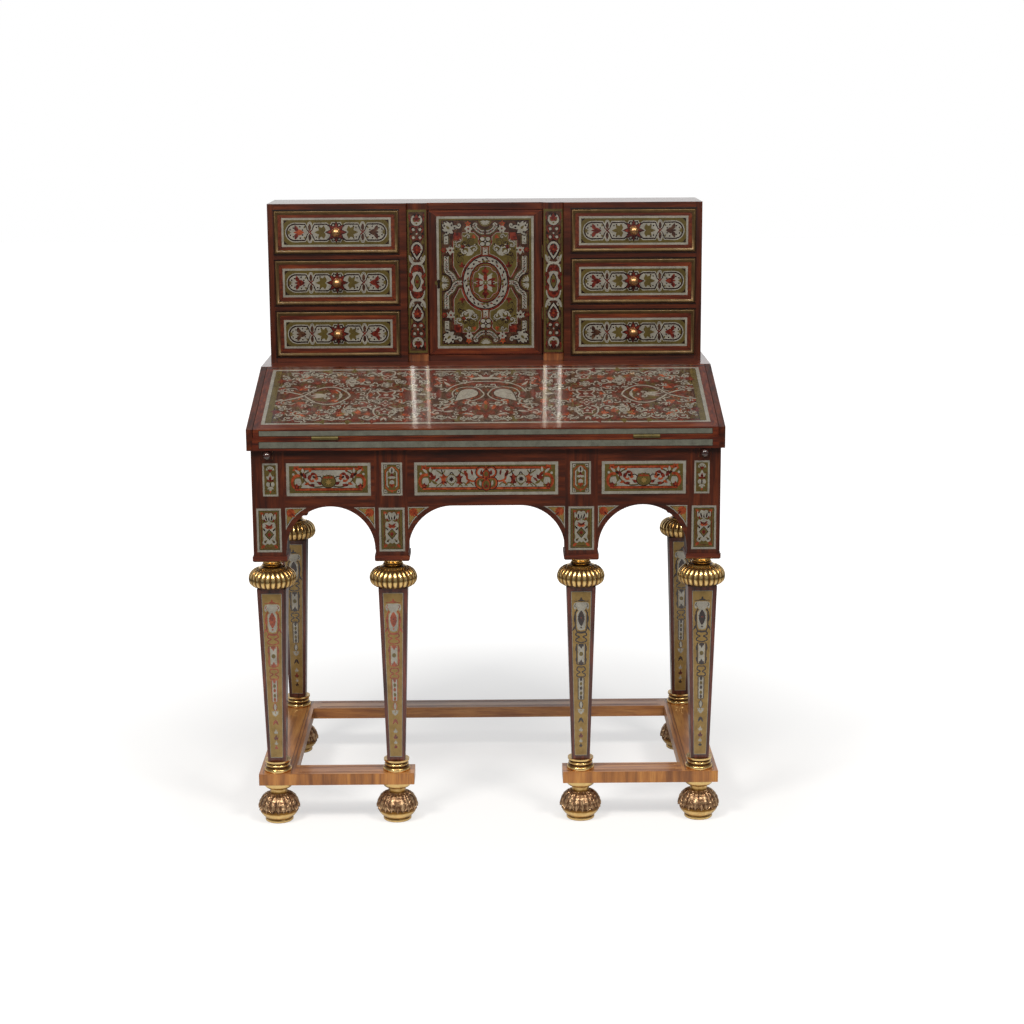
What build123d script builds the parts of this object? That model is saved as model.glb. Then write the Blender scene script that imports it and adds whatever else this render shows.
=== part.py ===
from build123d import *
from math import acos, atan2, degrees, radians, sin
import os

# Bureau mazarin: a writing case with a sloping fall and a low drawer gradin, carried on six
# tapering legs that stand on flat stretchers and bun feet.
# Millimetres, +Z up, the front faces -Y, the origin is on the floor under the middle of the plan.

# ---- Driving dimensions ----------------------------------------------------------------------
# Plan of the legs
LEG_SPAN_X = 808.0  # between the centre lines of the outer legs
LEG_SPAN_Y = 427.0  # between the centre lines of the front and the back legs
INNER_LEG_X = 176.5  # centre line of an inner front leg from the middle

# Heights of the stacked stand
FOOT_HEIGHT = 77.0
STRETCHER_THICKNESS = 22.5
RING_HEIGHT = 22.5
LEG_HEIGHT = 340.0
CAPITAL_HEIGHT = 53.5
PLINTH_HEIGHT = 11.0
POST_HEIGHT = 201.0

# Legs and turned parts
LEG_TOP_SIZE = 54.5
LEG_FOOT_SIZE = 34.0
CAPITAL_RADIUS = 45.0
CAPITAL_SEAT_RADIUS = 31.0
NECK_RADIUS = 19.5
RING_RADIUS = 26.5
FOOT_RADIUS = 39.4
FOOT_BASE_RADIUS = 25.0
FOOT_DISC_RADIUS = 27.3
FOOT_NECK_RADIUS = 16.5
TENON_RADIUS = 9.0
TENON_DEPTH = 25.0  # into the foot below and into the post above
TENON_CLEARANCE = 0.1

# Stretchers
SIDE_RAIL_WIDTH = 68.0
CROSS_RAIL_WIDTH = 54.0
FRONT_RAIL_END = 34.5  # past the centre line of an inner leg

# Case under the writing bed
POST_SIZE = 61.0
PLINTH_OVERHANG = 2.0
PLINTH_CHAMFER = 2.5
APRON_THICKNESS = 20.0
FRIEZE_HEIGHT = 107.0  # solid apron above the arches
ARCH_RADIUS = 82.5
ARCH_TIP = 0.75  # flat end of an apron beside a post

# Writing bed, cheeks, ledge and fall
BED_THICKNESS = 23.0
BED_OVERHANG = 9.5
CHEEK_OVERHANG = 6.5
CHEEK_THICKNESS = 11.5
LEDGE_RISE = 96.0  # from the top of the bed to the top of the ledge
LEDGE_THICKNESS = 14.0
FALL_RUN = 280.0  # from the front of the bed to the front of the ledge
FALL_EDGE_HEIGHT = 16.2  # upright front edge of the fall
FALL_GAP = 1.0
CASE_BACK_THICKNESS = 12.0

# Lopers
LOPER_WIDTH = 20.0
LOPER_HEIGHT = 17.7
LOPER_LENGTH = 400.0
LOPER_CLEARANCE = 0.4
LOPER_APRON_GAP = 0.1  # from the slot to the side apron
LOPER_KNOB_RADIUS = 7.3
LOPER_KNOB_LENGTH = 14.0
LOPER_KNOB_SPIGOT = 3.0
GUIDE_THICKNESS = 9.0

# Fall hinges
FALL_HINGE_X = 296.0
FALL_HINGE_LENGTH = 49.0
FALL_HINGE_LEAF = 24.0
FALL_KNUCKLE_RADIUS = 3.6
FALL_PIN_RADIUS = 1.5
FALL_LEAF_THICKNESS = 1.5

# Gradin
GRADIN_WIDTH = 854.0
GRADIN_DEPTH = 155.0
GRADIN_SETBACK = 57.0  # behind the front edge of the ledge
GRADIN_SIDE_THICKNESS = 12.5
GRADIN_BASE_THICKNESS = 12.0
GRADIN_TOP_THICKNESS = 13.5
GRADIN_BACK_THICKNESS = 8.0
PARTITION_THICKNESS = 15.0
PARTITION_X = 162.5  # middle of a partition from the middle of the gradin
DIVIDER_THICKNESS = 13.0
DRAWER_HEIGHTS = (88.0, 86.6, 83.0)  # bottom, middle, top
DRAWER_CLEARANCE = 0.6
DRAWER_REAR_GAP = 3.0
DRAWER_FRONT_THICKNESS = 14.0
DRAWER_SIDE_THICKNESS = 7.0
DRAWER_BOTTOM_THICKNESS = 4.0
DRAWER_MOULDING_WIDTH = 6.0
DRAWER_MOULDING_PROUD = 3.0
KNOB_RADIUS = 8.8
KNOB_REACH = 19.0
KNOB_SPIGOT_RADIUS = 2.5

# Door and its pilasters
CENTRE_RECESS = 12.0
PILASTER_WIDTH = 41.0
PILASTER_EDGE_PROUD = 6.0
PILASTER_CROWN_PROUD = 10.0
PILASTER_STILE_DEPTH = 18.0
DOOR_THICKNESS = 16.0
DOOR_SIDE_GAP = 1.5
DOOR_END_GAP = 1.2
DOOR_HINGE_LENGTH = 24.0
DOOR_HINGE_SPACING = 122.5
DOOR_KNUCKLE_RADIUS = 1.9
DOOR_KNUCKLE_PROUD = 2.2  # axis in front of the door
DOOR_PIN_RADIUS = 0.9
DOOR_LEAF_THICKNESS = 1.2
DOOR_LEAF_DEPTH = 13.0
LOCK_CASE = (42.0, 9.0, 34.0)
LOCK_INSET = 16.5  # middle of the keyhole from the edge of the door
ESCUTCHEON_RADIUS = 4.5
ESCUTCHEON_THICKNESS = 1.0
KEY_PIPE_RADIUS = 2.6

HINGE_RUNNING_CLEARANCE = 0.05
KNUCKLE_GAP = 0.3
BARREL_NOTCH_CLEARANCE = 0.4

# ---- Places that follow from them --------------------------------------------------------------
OUTER_LEG_X = LEG_SPAN_X / 2
FRONT_LEG_Y = -LEG_SPAN_Y / 2
BACK_LEG_Y = LEG_SPAN_Y / 2
LEG_PLACES = {
    "front_outer_left": (-OUTER_LEG_X, FRONT_LEG_Y),
    "front_inner_left": (-INNER_LEG_X, FRONT_LEG_Y),
    "front_inner_right": (INNER_LEG_X, FRONT_LEG_Y),
    "front_outer_right": (OUTER_LEG_X, FRONT_LEG_Y),
    "back_left": (-OUTER_LEG_X, BACK_LEG_Y),
    "back_right": (OUTER_LEG_X, BACK_LEG_Y),
}

STRETCHER_TOP = FOOT_HEIGHT + STRETCHER_THICKNESS
LEG_FOOT_Z = STRETCHER_TOP + RING_HEIGHT
LEG_TOP_Z = LEG_FOOT_Z + LEG_HEIGHT
PLINTH_Z = LEG_TOP_Z + CAPITAL_HEIGHT
POST_Z = PLINTH_Z + PLINTH_HEIGHT
BED_Z = POST_Z + POST_HEIGHT
BED_TOP = BED_Z + BED_THICKNESS
LEDGE_TOP = BED_TOP + LEDGE_RISE
LEDGE_Z = LEDGE_TOP - LEDGE_THICKNESS

POST_HALF = POST_SIZE / 2
CASE_X = OUTER_LEG_X + POST_HALF
CASE_FRONT = FRONT_LEG_Y - POST_HALF
CASE_BACK = BACK_LEG_Y + POST_HALF
BED_FRONT = CASE_FRONT - BED_OVERHANG
CHEEK_X = CASE_X + CHEEK_OVERHANG
BED_X = CHEEK_X - CHEEK_THICKNESS
LEDGE_FRONT = BED_FRONT + FALL_RUN
GRADIN_FRONT = LEDGE_FRONT + GRADIN_SETBACK
GRADIN_BACK = GRADIN_FRONT + GRADIN_DEPTH
GRADIN_X = GRADIN_WIDTH / 2
GRADIN_INNER_X = GRADIN_X - GRADIN_SIDE_THICKNESS
PARTITION_INNER_X = PARTITION_X - PARTITION_THICKNESS / 2
PARTITION_OUTER_X = PARTITION_X + PARTITION_THICKNESS / 2
GRADIN_FLOOR = LEDGE_TOP + GRADIN_BASE_THICKNESS
DRAWER_PITCHES = [h + 2 * DRAWER_CLEARANCE for h in DRAWER_HEIGHTS]
GRADIN_CEILING = GRADIN_FLOOR + sum(DRAWER_PITCHES) + 2 * DIVIDER_THICKNESS
GRADIN_TOP = GRADIN_CEILING + GRADIN_TOP_THICKNESS
GRADIN_INNER_BACK = GRADIN_BACK - GRADIN_BACK_THICKNESS

SLOT_HALF = LOPER_WIDTH / 2 + LOPER_CLEARANCE
LOPER_X = CASE_X - APRON_THICKNESS - LOPER_APRON_GAP - SLOT_HALF
LOPER_TOP = BED_Z - LOPER_CLEARANCE
LOPER_Z = LOPER_TOP - LOPER_HEIGHT
LOPER_MIDDLE_Z = (LOPER_TOP + LOPER_Z) / 2
SLOT_Z = LOPER_Z - LOPER_CLEARANCE

HINGE_AXIS_Z = BED_TOP + KNUCKLE_GAP / 2
FALL_TOE_Z = BED_TOP + KNUCKLE_GAP
FALL_REAR = LEDGE_FRONT - FALL_GAP
FALL_SLOPE = atan2(LEDGE_TOP - FALL_TOE_Z - FALL_EDGE_HEIGHT, FALL_REAR - BED_FRONT)

DOOR_FRONT = GRADIN_FRONT + CENTRE_RECESS
PILASTER_INNER_X = PARTITION_INNER_X - PILASTER_WIDTH
DOOR_X = PILASTER_INNER_X - DOOR_SIDE_GAP
DOOR_Z = GRADIN_FLOOR + DOOR_END_GAP
DOOR_TOP = GRADIN_CEILING - DOOR_END_GAP
DOOR_MIDDLE_Z = (DOOR_Z + DOOR_TOP) / 2
DOOR_AXIS_X = PILASTER_INNER_X - DOOR_SIDE_GAP / 2
DOOR_AXIS_Y = DOOR_FRONT - DOOR_KNUCKLE_PROUD
SIDES = {"left": -1, "right": 1}


# ---- Shapes shared by several pieces -------------------------------------------------------------
def block(x_range, y_range, z_range):
    """A board or block between the given limits."""
    sizes = [high - low for low, high in (x_range, y_range, z_range)]
    middles = [(high + low) / 2 for low, high in (x_range, y_range, z_range)]
    return Pos(*middles) * Box(*sizes)


def side_range(side, inner, outer):
    """The X limits of a piece that lies between two distances from the middle."""
    return (inner, outer) if side > 0 else (-outer, -inner)


def turned(outline, place):
    """Turn a closed outline of radius and height about a vertical axis."""
    face = make_face(outline.edges())
    return Pos(*place) * revolve(Plane.XZ * face, axis=Axis.Z)


def post(radius, z_low, z_high):
    """A round post on the Z axis."""
    return Pos(0, 0, (z_low + z_high) / 2) * Cylinder(radius, z_high - z_low)


def ellipse_quarter(centre, radii, start):
    """A quarter of an ellipse, anticlockwise from the start angle."""
    return EllipticalCenterArc(centre, radii[0], radii[1], start_angle=start, arc_size=90)


# ---- Stand -----------------------------------------------------------------------------------
def bun_foot(place):
    """Disc, neck, leaf-cast bulb and base of one foot, bored for the tenon of the leg."""
    bore = TENON_RADIUS + TENON_CLEARANCE
    disc_bottom = FOOT_HEIGHT - 11.0
    neck_bottom = disc_bottom - 10.0
    widest, base = 28.0, 5.0
    disc_foot = FOOT_NECK_RADIUS + 3.5
    collar = FOOT_NECK_RADIUS + 1.0
    outline = (
        Polyline((bore, FOOT_HEIGHT), (FOOT_DISC_RADIUS, FOOT_HEIGHT), (FOOT_DISC_RADIUS, FOOT_HEIGHT - 3))
        + ellipse_quarter(
            (disc_foot, FOOT_HEIGHT - 3), (FOOT_DISC_RADIUS - disc_foot, FOOT_HEIGHT - 3 - disc_bottom), 270
        )
        + Polyline(
            (disc_foot, disc_bottom), (FOOT_NECK_RADIUS, disc_bottom - 1),
            (FOOT_NECK_RADIUS, neck_bottom + 1), (collar, neck_bottom)
        )
        + ellipse_quarter((collar, widest), (FOOT_RADIUS - collar, neck_bottom - widest), 0)
        + ellipse_quarter(
            (FOOT_BASE_RADIUS, widest), (FOOT_RADIUS - FOOT_BASE_RADIUS, widest - base), 270
        )
        + Polyline(
            (FOOT_BASE_RADIUS, base), (FOOT_BASE_RADIUS, 0), (0, 0), (0, FOOT_HEIGHT - TENON_DEPTH),
            (bore, FOOT_HEIGHT - TENON_DEPTH), (bore, FOOT_HEIGHT)
        )
    )
    return turned(outline, (*place, 0))


def base_ring(place):
    """Moulded gilt ring between the stretcher and the foot of a leg."""
    bore = TENON_RADIUS + TENON_CLEARANCE
    flange = RING_RADIUS - 2
    waist = RING_RADIUS - 5.5
    outline = (
        Polyline((bore, 0), (RING_RADIUS - 1, 0), (RING_RADIUS, 3.5), (RING_RADIUS - 1.5, 7), (waist, 8))
        + ThreePointArc((waist, 8), (waist + 2.5, 11.5), (waist, 15))
        + Polyline(
            (waist, 15), (waist - 0.5, 17), (flange, 19), (flange, RING_HEIGHT), (bore, RING_HEIGHT), (bore, 0)
        )
    )
    return turned(outline, (*place, STRETCHER_TOP))


def leg_capital(place):
    """Cushion and neck of one capital, bored for the tenon of the leg."""
    bore = TENON_RADIUS + TENON_CLEARANCE
    crown = 16.0
    shoulder = 37.0
    shoulder_radius = NECK_RADIUS + 4.5
    waist = NECK_RADIUS - 2.5
    outline = (
        Line((bore, 0), (CAPITAL_SEAT_RADIUS, 0))
        + ellipse_quarter((CAPITAL_SEAT_RADIUS, crown), (CAPITAL_RADIUS - CAPITAL_SEAT_RADIUS, crown), 270)
        + ellipse_quarter((shoulder_radius, crown), (CAPITAL_RADIUS - shoulder_radius, shoulder - crown), 0)
        + Polyline(
            (shoulder_radius, shoulder), (waist, shoulder + 1), (NECK_RADIUS, shoulder + 4),
            (waist, shoulder + 8), (NECK_RADIUS, CAPITAL_HEIGHT - 4), (NECK_RADIUS, CAPITAL_HEIGHT),
            (bore, CAPITAL_HEIGHT), (bore, 0)
        )
    )
    return turned(outline, (*place, LEG_TOP_Z))


def leg(place):
    """Square tapering leg with a round tenon at each end."""
    foot = Pos(0, 0, LEG_FOOT_Z) * Rectangle(LEG_FOOT_SIZE, LEG_FOOT_SIZE)
    top = Pos(0, 0, LEG_TOP_Z) * Rectangle(LEG_TOP_SIZE, LEG_TOP_SIZE)
    tenon_foot = FOOT_HEIGHT - TENON_DEPTH + TENON_CLEARANCE
    tenon_top = POST_Z + TENON_DEPTH - TENON_CLEARANCE
    shape = loft([foot, top]) + post(TENON_RADIUS, tenon_foot, tenon_top)
    return Pos(*place, 0) * shape


def bored(shape, z_low, z_high):
    """Bore a board for the tenon of each leg that passes through it."""
    for place in LEG_PLACES.values():
        shape -= Pos(*place, 0) * post(TENON_RADIUS + TENON_CLEARANCE, z_low, z_high)
    return shape


def stretchers():
    """Side rails that run the whole depth, a back rail and two short front rails between them."""
    z_range = (FOOT_HEIGHT, STRETCHER_TOP)
    rail_half = CROSS_RAIL_WIDTH / 2
    inner = OUTER_LEG_X - SIDE_RAIL_WIDTH / 2
    outer = OUTER_LEG_X + SIDE_RAIL_WIDTH / 2
    front = (FRONT_LEG_Y - rail_half, FRONT_LEG_Y + rail_half)
    back = (BACK_LEG_Y - rail_half, BACK_LEG_Y + rail_half)
    rails = {"stretcher_back": [block((-inner, inner), back, z_range)], "stretcher_front": []}
    for name, side in SIDES.items():
        rails["stretcher_side_" + name] = [block(side_range(side, inner, outer), (front[0], back[1]), z_range)]
        short = side_range(side, INNER_LEG_X - FRONT_RAIL_END, inner)
        rails["stretcher_front"].append(block(short, front, z_range))
    return {name: [bored(rail, *z_range) for rail in solids] for name, solids in rails.items()}


def post_plinth(place):
    """Square moulded cap between a capital and its post."""
    half = POST_HALF + PLINTH_OVERHANG
    cap = Box(2 * half, 2 * half, PLINTH_HEIGHT)
    cap = chamfer(cap.edges().filter_by(Axis.Z, reverse=True).group_by(Axis.Z)[0], PLINTH_CHAMFER)
    cap -= Cylinder(TENON_RADIUS + TENON_CLEARANCE, PLINTH_HEIGHT)
    return Pos(*place, PLINTH_Z + PLINTH_HEIGHT / 2) * cap


# ---- Case --------------------------------------------------------------------------------------
def case_post(place):
    """Square post over a leg; the outer front posts are slotted for the lopers."""
    x, y = place
    shape = block((x - POST_HALF, x + POST_HALF), (y - POST_HALF, y + POST_HALF), (POST_Z, BED_Z))
    shape -= Pos(x, y, 0) * post(TENON_RADIUS + TENON_CLEARANCE, POST_Z, POST_Z + TENON_DEPTH)
    if abs(x) == OUTER_LEG_X and y == FRONT_LEG_Y:
        slot_x = side_range(x, LOPER_X - SLOT_HALF, LOPER_X + SLOT_HALF)
        shape -= block(slot_x, (y - POST_HALF, y + POST_HALF), (SLOT_Z, BED_Z))
    return shape


def arched_board(length):
    """Outline of an apron of the given length with an arch or a long flat-topped arch cut out."""
    arch_top = BED_Z - FRIEZE_HEIGHT
    half = length / 2
    opening = half - ARCH_TIP
    radius = min(ARCH_RADIUS, 0.499 * length - ARCH_TIP)
    spring = arch_top - radius
    outline = (
        Polyline((-opening, spring), (-half, spring), (-half, BED_Z), (half, BED_Z), (half, spring), (opening, spring))
        + CenterArc((opening - radius, spring), radius, 0, 90)
        + Line((opening - radius, arch_top), (radius - opening, arch_top))
        + CenterArc((radius - opening, spring), radius, 90, 90)
    )
    return make_face(outline.edges())


def cross_apron(x_range, y_range):
    """Arched apron that runs along X."""
    face = arched_board(x_range[1] - x_range[0])
    board = extrude(Plane.XZ * face, amount=y_range[1] - y_range[0])
    return Pos((x_range[0] + x_range[1]) / 2, y_range[1], 0) * board


def side_apron(side):
    """Arched apron that runs along Y between the posts of one side."""
    face = arched_board(LEG_SPAN_Y - POST_SIZE)
    board = extrude(Plane.YZ * face, amount=APRON_THICKNESS)
    x_low = side_range(side, CASE_X - APRON_THICKNESS, CASE_X)[0]
    return Pos(x_low, 0, 0) * board


def front_aprons():
    """Three arched aprons between the front posts."""
    y_range = (CASE_FRONT, CASE_FRONT + APRON_THICKNESS)
    outer = (INNER_LEG_X + POST_HALF, OUTER_LEG_X - POST_HALF)
    middle = INNER_LEG_X - POST_HALF
    return [
        cross_apron((-outer[1], -outer[0]), y_range),
        cross_apron((-middle, middle), y_range),
        cross_apron(outer, y_range),
    ]


def case_back():
    """Arched back apron between the back posts, and the back of the writing compartment."""
    inner = OUTER_LEG_X - POST_HALF
    apron = cross_apron((-inner, inner), (CASE_BACK - APRON_THICKNESS, CASE_BACK))
    upper = block((-BED_X, BED_X), (CASE_BACK - CASE_BACK_THICKNESS, CASE_BACK), (BED_TOP, LEDGE_Z))
    return [apron, upper]


def barrel_notches(shape):
    """Clear the fall hinge barrels out of a board beside the hinge axis."""
    length = FALL_HINGE_LENGTH + 2 * BARREL_NOTCH_CLEARANCE
    radius = FALL_KNUCKLE_RADIUS + BARREL_NOTCH_CLEARANCE
    for side in SIDES.values():
        barrel = Rot(0, 90, 0) * Cylinder(radius, length)
        shape -= Pos(side * FALL_HINGE_X, BED_FRONT, HINGE_AXIS_Z) * barrel
    return shape


def leaf_plate(side, z_range):
    """Flat plate of one fall hinge leaf, from the Y origin back."""
    half = FALL_HINGE_LENGTH / 2
    return block((side * FALL_HINGE_X - half, side * FALL_HINGE_X + half), (0, FALL_HINGE_LEAF), z_range)


def bed_leaf_plate(side):
    """Plate of a lower leaf, let in flush with the top of the bed."""
    return Pos(0, BED_FRONT, BED_TOP) * leaf_plate(side, (-FALL_LEAF_THICKNESS, 0))


def fall_leaf_plate(side):
    """Plate of an upper leaf, let in flush with the underside of the fall."""
    return Pos(0, BED_FRONT, FALL_TOE_Z) * Rot(degrees(FALL_SLOPE), 0, 0) * leaf_plate(side, (0, FALL_LEAF_THICKNESS))


def writing_bed():
    """Fixed bed board, let in for the lower hinge leaves."""
    bed = block((-BED_X, BED_X), (BED_FRONT, CASE_BACK), (BED_Z, BED_TOP))
    for side in SIDES.values():
        bed -= bed_leaf_plate(side)
    return barrel_notches(bed)


def cheek(side):
    """Side wall of the writing compartment, sloped with the fall and rebated for the ledge."""
    outline = Polyline(
        (BED_FRONT, BED_Z), (BED_FRONT, FALL_TOE_Z + FALL_EDGE_HEIGHT), (LEDGE_FRONT, LEDGE_TOP),
        (LEDGE_FRONT, LEDGE_Z), (CASE_BACK, LEDGE_Z), (CASE_BACK, BED_Z), close=True
    )
    board = extrude(Plane.YZ * make_face(outline.edges()), amount=CHEEK_THICKNESS)
    return Pos(side_range(side, BED_X, CHEEK_X)[0], 0, 0) * board


def fall_front():
    """Sloping fall, with a plumb front edge and a plumb rear edge."""
    outline = Polyline(
        (BED_FRONT, FALL_TOE_Z), (BED_FRONT, FALL_TOE_Z + FALL_EDGE_HEIGHT), (FALL_REAR, LEDGE_TOP),
        (FALL_REAR, LEDGE_TOP - FALL_EDGE_HEIGHT), close=True
    )
    half = BED_X - FALL_GAP
    board = Pos(-half, 0, 0) * extrude(Plane.YZ * make_face(outline.edges()), amount=2 * half)
    for side in SIDES.values():
        board -= fall_leaf_plate(side)
    return barrel_notches(board)


def knuckles(count, wanted, radius, bore, length):
    """The wanted knuckles of a barrel along X, numbered from one end, bored for the pin."""
    pitch = length / count
    barrel = None
    for index in range(count):
        if index % 2 == wanted:
            middle = (index + 0.5) * pitch - length / 2
            tube = Pos(middle, 0, 0) * Rot(0, 90, 0) * (
                Cylinder(radius, pitch - KNUCKLE_GAP) - Cylinder(bore, pitch)
            )
            barrel = tube if barrel is None else barrel + tube
    return barrel


def fall_hinge_bed_leaves():
    """Lower leaves with their end knuckles, and the pins."""
    solids = []
    for side in SIDES.values():
        at_axis = Pos(side * FALL_HINGE_X, BED_FRONT, HINGE_AXIS_Z)
        barrel = knuckles(3, 0, FALL_KNUCKLE_RADIUS, FALL_PIN_RADIUS, FALL_HINGE_LENGTH)
        middle = Rot(0, 90, 0) * Cylinder(FALL_KNUCKLE_RADIUS + KNUCKLE_GAP, FALL_HINGE_LENGTH / 3 + KNUCKLE_GAP)
        bore = Rot(0, 90, 0) * Cylinder(FALL_PIN_RADIUS, FALL_HINGE_LENGTH)
        solids.append(bed_leaf_plate(side) - at_axis * middle - at_axis * bore + at_axis * barrel)
        solids.append(at_axis * bore)
    return solids


def fall_hinge_fall_leaves():
    """Upper leaves with the middle knuckle."""
    solids = []
    reach = FALL_HINGE_LENGTH / 3 + KNUCKLE_GAP
    for side in SIDES.values():
        at_axis = Pos(side * FALL_HINGE_X, BED_FRONT, HINGE_AXIS_Z)
        running = FALL_PIN_RADIUS + HINGE_RUNNING_CLEARANCE
        barrel = knuckles(3, 1, FALL_KNUCKLE_RADIUS, running, FALL_HINGE_LENGTH)
        plate = fall_leaf_plate(side)
        for end in (-1, 1):
            clear = Pos(end * FALL_HINGE_LENGTH / 3, 0, 0) * Rot(0, 90, 0) * Cylinder(
                FALL_KNUCKLE_RADIUS + KNUCKLE_GAP, reach
            )
            plate -= at_axis * clear
        bore = Rot(0, 90, 0) * Cylinder(running, FALL_HINGE_LENGTH)
        solids.append(plate - at_axis * bore + at_axis * barrel)
    return solids


def loper(side):
    """Pull-out bearer, bored in front for its knob."""
    x = side * LOPER_X
    bar = block(
        (x - LOPER_WIDTH / 2, x + LOPER_WIDTH / 2), (CASE_FRONT, CASE_FRONT + LOPER_LENGTH), (LOPER_Z, LOPER_TOP)
    )
    hole = Rot(90, 0, 0) * Cylinder(LOPER_KNOB_SPIGOT, 2 * LOPER_KNOB_LENGTH)
    return bar - Pos(x, CASE_FRONT, LOPER_MIDDLE_Z) * hole


def pull_knob(radius, reach, spigot_radius, spigot_length):
    """Turned knob on the Z axis; its seat is at Z 0 and its spigot runs down."""
    ball = reach - radius
    stem = max(radius * 0.5, spigot_radius)
    start = degrees(acos(stem / radius))
    collar = stem + radius * 0.3
    outline = (
        Polyline(
            (0, reach), (0, -spigot_length), (spigot_radius, -spigot_length), (spigot_radius, 0),
            (collar, 0), (collar, reach * 0.07), (stem, reach * 0.12), (stem, ball - radius * sin(radians(start)))
        )
        + CenterArc((0, ball), radius, -start, 90 + start)
    )
    return turned(outline, (0, 0, 0))


def loper_knob(side):
    """Small turned knob in the end of a loper."""
    knob = pull_knob(LOPER_KNOB_RADIUS, LOPER_KNOB_LENGTH, LOPER_KNOB_SPIGOT, LOPER_KNOB_LENGTH)
    return Pos(side * LOPER_X, CASE_FRONT, LOPER_MIDDLE_Z) * Rot(90, 0, 0) * knob


def loper_guide(side):
    """Angle guide behind a front post, against the side apron."""
    inner, outer = LOPER_X - SLOT_HALF, CASE_X - APRON_THICKNESS
    y_range = (FRONT_LEG_Y + POST_HALF, BACK_LEG_Y - POST_HALF)
    foot = block(side_range(side, inner - GUIDE_THICKNESS, outer), y_range, (SLOT_Z - GUIDE_THICKNESS, SLOT_Z))
    fence = block(side_range(side, inner - GUIDE_THICKNESS, inner), y_range, (SLOT_Z, BED_Z))
    return foot + fence


# ---- Gradin ------------------------------------------------------------------------------------
def recessed_board(z_range):
    """Base or top board of the gradin, set back between the partitions."""
    board = block((-GRADIN_INNER_X, GRADIN_INNER_X), (GRADIN_FRONT, GRADIN_BACK), z_range)
    return board - block((-PARTITION_INNER_X, PARTITION_INNER_X), (GRADIN_FRONT, DOOR_FRONT), z_range)


def gradin_dividers():
    """Two upright partitions, and two boards between the drawers of each side."""
    y_range = (GRADIN_FRONT, GRADIN_INNER_BACK)
    solids = []
    for side in SIDES.values():
        partition = side_range(side, PARTITION_INNER_X, PARTITION_OUTER_X)
        solids.append(block(partition, y_range, (GRADIN_FLOOR, GRADIN_CEILING)))
        z = GRADIN_FLOOR
        for pitch in DRAWER_PITCHES[:2]:
            z += pitch
            span = side_range(side, PARTITION_OUTER_X, GRADIN_INNER_X)
            solids.append(block(span, y_range, (z, z + DIVIDER_THICKNESS)))
            z += DIVIDER_THICKNESS
    return solids


def door_hinge_heights():
    """Middle height of each door hinge."""
    return [DOOR_MIDDLE_Z + end * DOOR_HINGE_SPACING / 2 for end in (-1, 1)]


def door_barrel(radius, length, z):
    """A cylinder on the axis of the door."""
    return Pos(DOOR_AXIS_X, DOOR_AXIS_Y, z) * Cylinder(radius, length)


def door_leaf(x_range, z, margin=0.0):
    """Plate of one door hinge leaf, from the hinge axis back."""
    half = DOOR_HINGE_LENGTH / 2 + margin
    return block(x_range, (DOOR_AXIS_Y, DOOR_FRONT + DOOR_LEAF_DEPTH), (z - half, z + half))


FRAME_LEAF_X = (PILASTER_INNER_X, PILASTER_INNER_X + DOOR_LEAF_THICKNESS)
DOOR_LEAF_X = (DOOR_X - DOOR_LEAF_THICKNESS, DOOR_X)


def pilaster(side):
    """Slightly bowed pilaster with the door stile behind it."""
    half = PILASTER_WIDTH / 2
    edge, crown = -PILASTER_EDGE_PROUD, -PILASTER_CROWN_PROUD
    outline = Polyline((-half, edge), (-half, 0), (half, 0), (half, edge)) + ThreePointArc(
        (half, edge), (0, crown), (-half, edge)
    )
    shaft = extrude(make_face(outline.edges()), amount=GRADIN_TOP - LEDGE_TOP)
    middle = side * (PILASTER_INNER_X + half)
    stile = block(
        (middle - half, middle + half), (DOOR_FRONT, DOOR_FRONT + PILASTER_STILE_DEPTH), (GRADIN_FLOOR, GRADIN_CEILING)
    )
    shape = Pos(middle, DOOR_FRONT, LEDGE_TOP) * shaft + stile
    if side > 0:
        notch = DOOR_KNUCKLE_RADIUS + BARREL_NOTCH_CLEARANCE
        for z in door_hinge_heights():
            shape -= door_leaf(FRAME_LEAF_X, z)
            shape -= door_barrel(notch, DOOR_HINGE_LENGTH, z)
    return shape


def door_panel():
    """Flush door, let in on its hinge edge and bored for the lock."""
    panel = block((-DOOR_X, DOOR_X), (DOOR_FRONT, DOOR_FRONT + DOOR_THICKNESS), (DOOR_Z, DOOR_TOP))
    for z in door_hinge_heights():
        panel -= door_leaf(DOOR_LEAF_X, z)
        panel -= door_barrel(DOOR_KNUCKLE_RADIUS + BARREL_NOTCH_CLEARANCE, DOOR_HINGE_LENGTH, z)
    bore = Rot(90, 0, 0) * Cylinder(KEY_PIPE_RADIUS, 3 * DOOR_THICKNESS)
    return panel - Pos(LOCK_INSET - DOOR_X, DOOR_FRONT, DOOR_MIDDLE_Z) * bore


def door_hinge_leaf(x_range, wanted, bore):
    """Leaf and knuckles of each door hinge on one side of the joint."""
    solids = []
    pitch = DOOR_HINGE_LENGTH / 3
    for z in door_hinge_heights():
        plate = door_leaf(x_range, z)
        for index in range(3):
            middle = z + (index - 1) * pitch
            if index % 2 == wanted:
                plate += door_barrel(DOOR_KNUCKLE_RADIUS, pitch - KNUCKLE_GAP, middle)
            else:
                plate -= door_barrel(DOOR_KNUCKLE_RADIUS + KNUCKLE_GAP, pitch + KNUCKLE_GAP, middle)
        solids.append(plate - door_barrel(bore, DOOR_HINGE_LENGTH, z))
    return solids


def door_hinge_frame_leaves():
    """Leaves on the pilaster, with the pins."""
    pins = [door_barrel(DOOR_PIN_RADIUS, DOOR_HINGE_LENGTH, z) for z in door_hinge_heights()]
    return door_hinge_leaf(FRAME_LEAF_X, 0, DOOR_PIN_RADIUS) + pins


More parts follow.
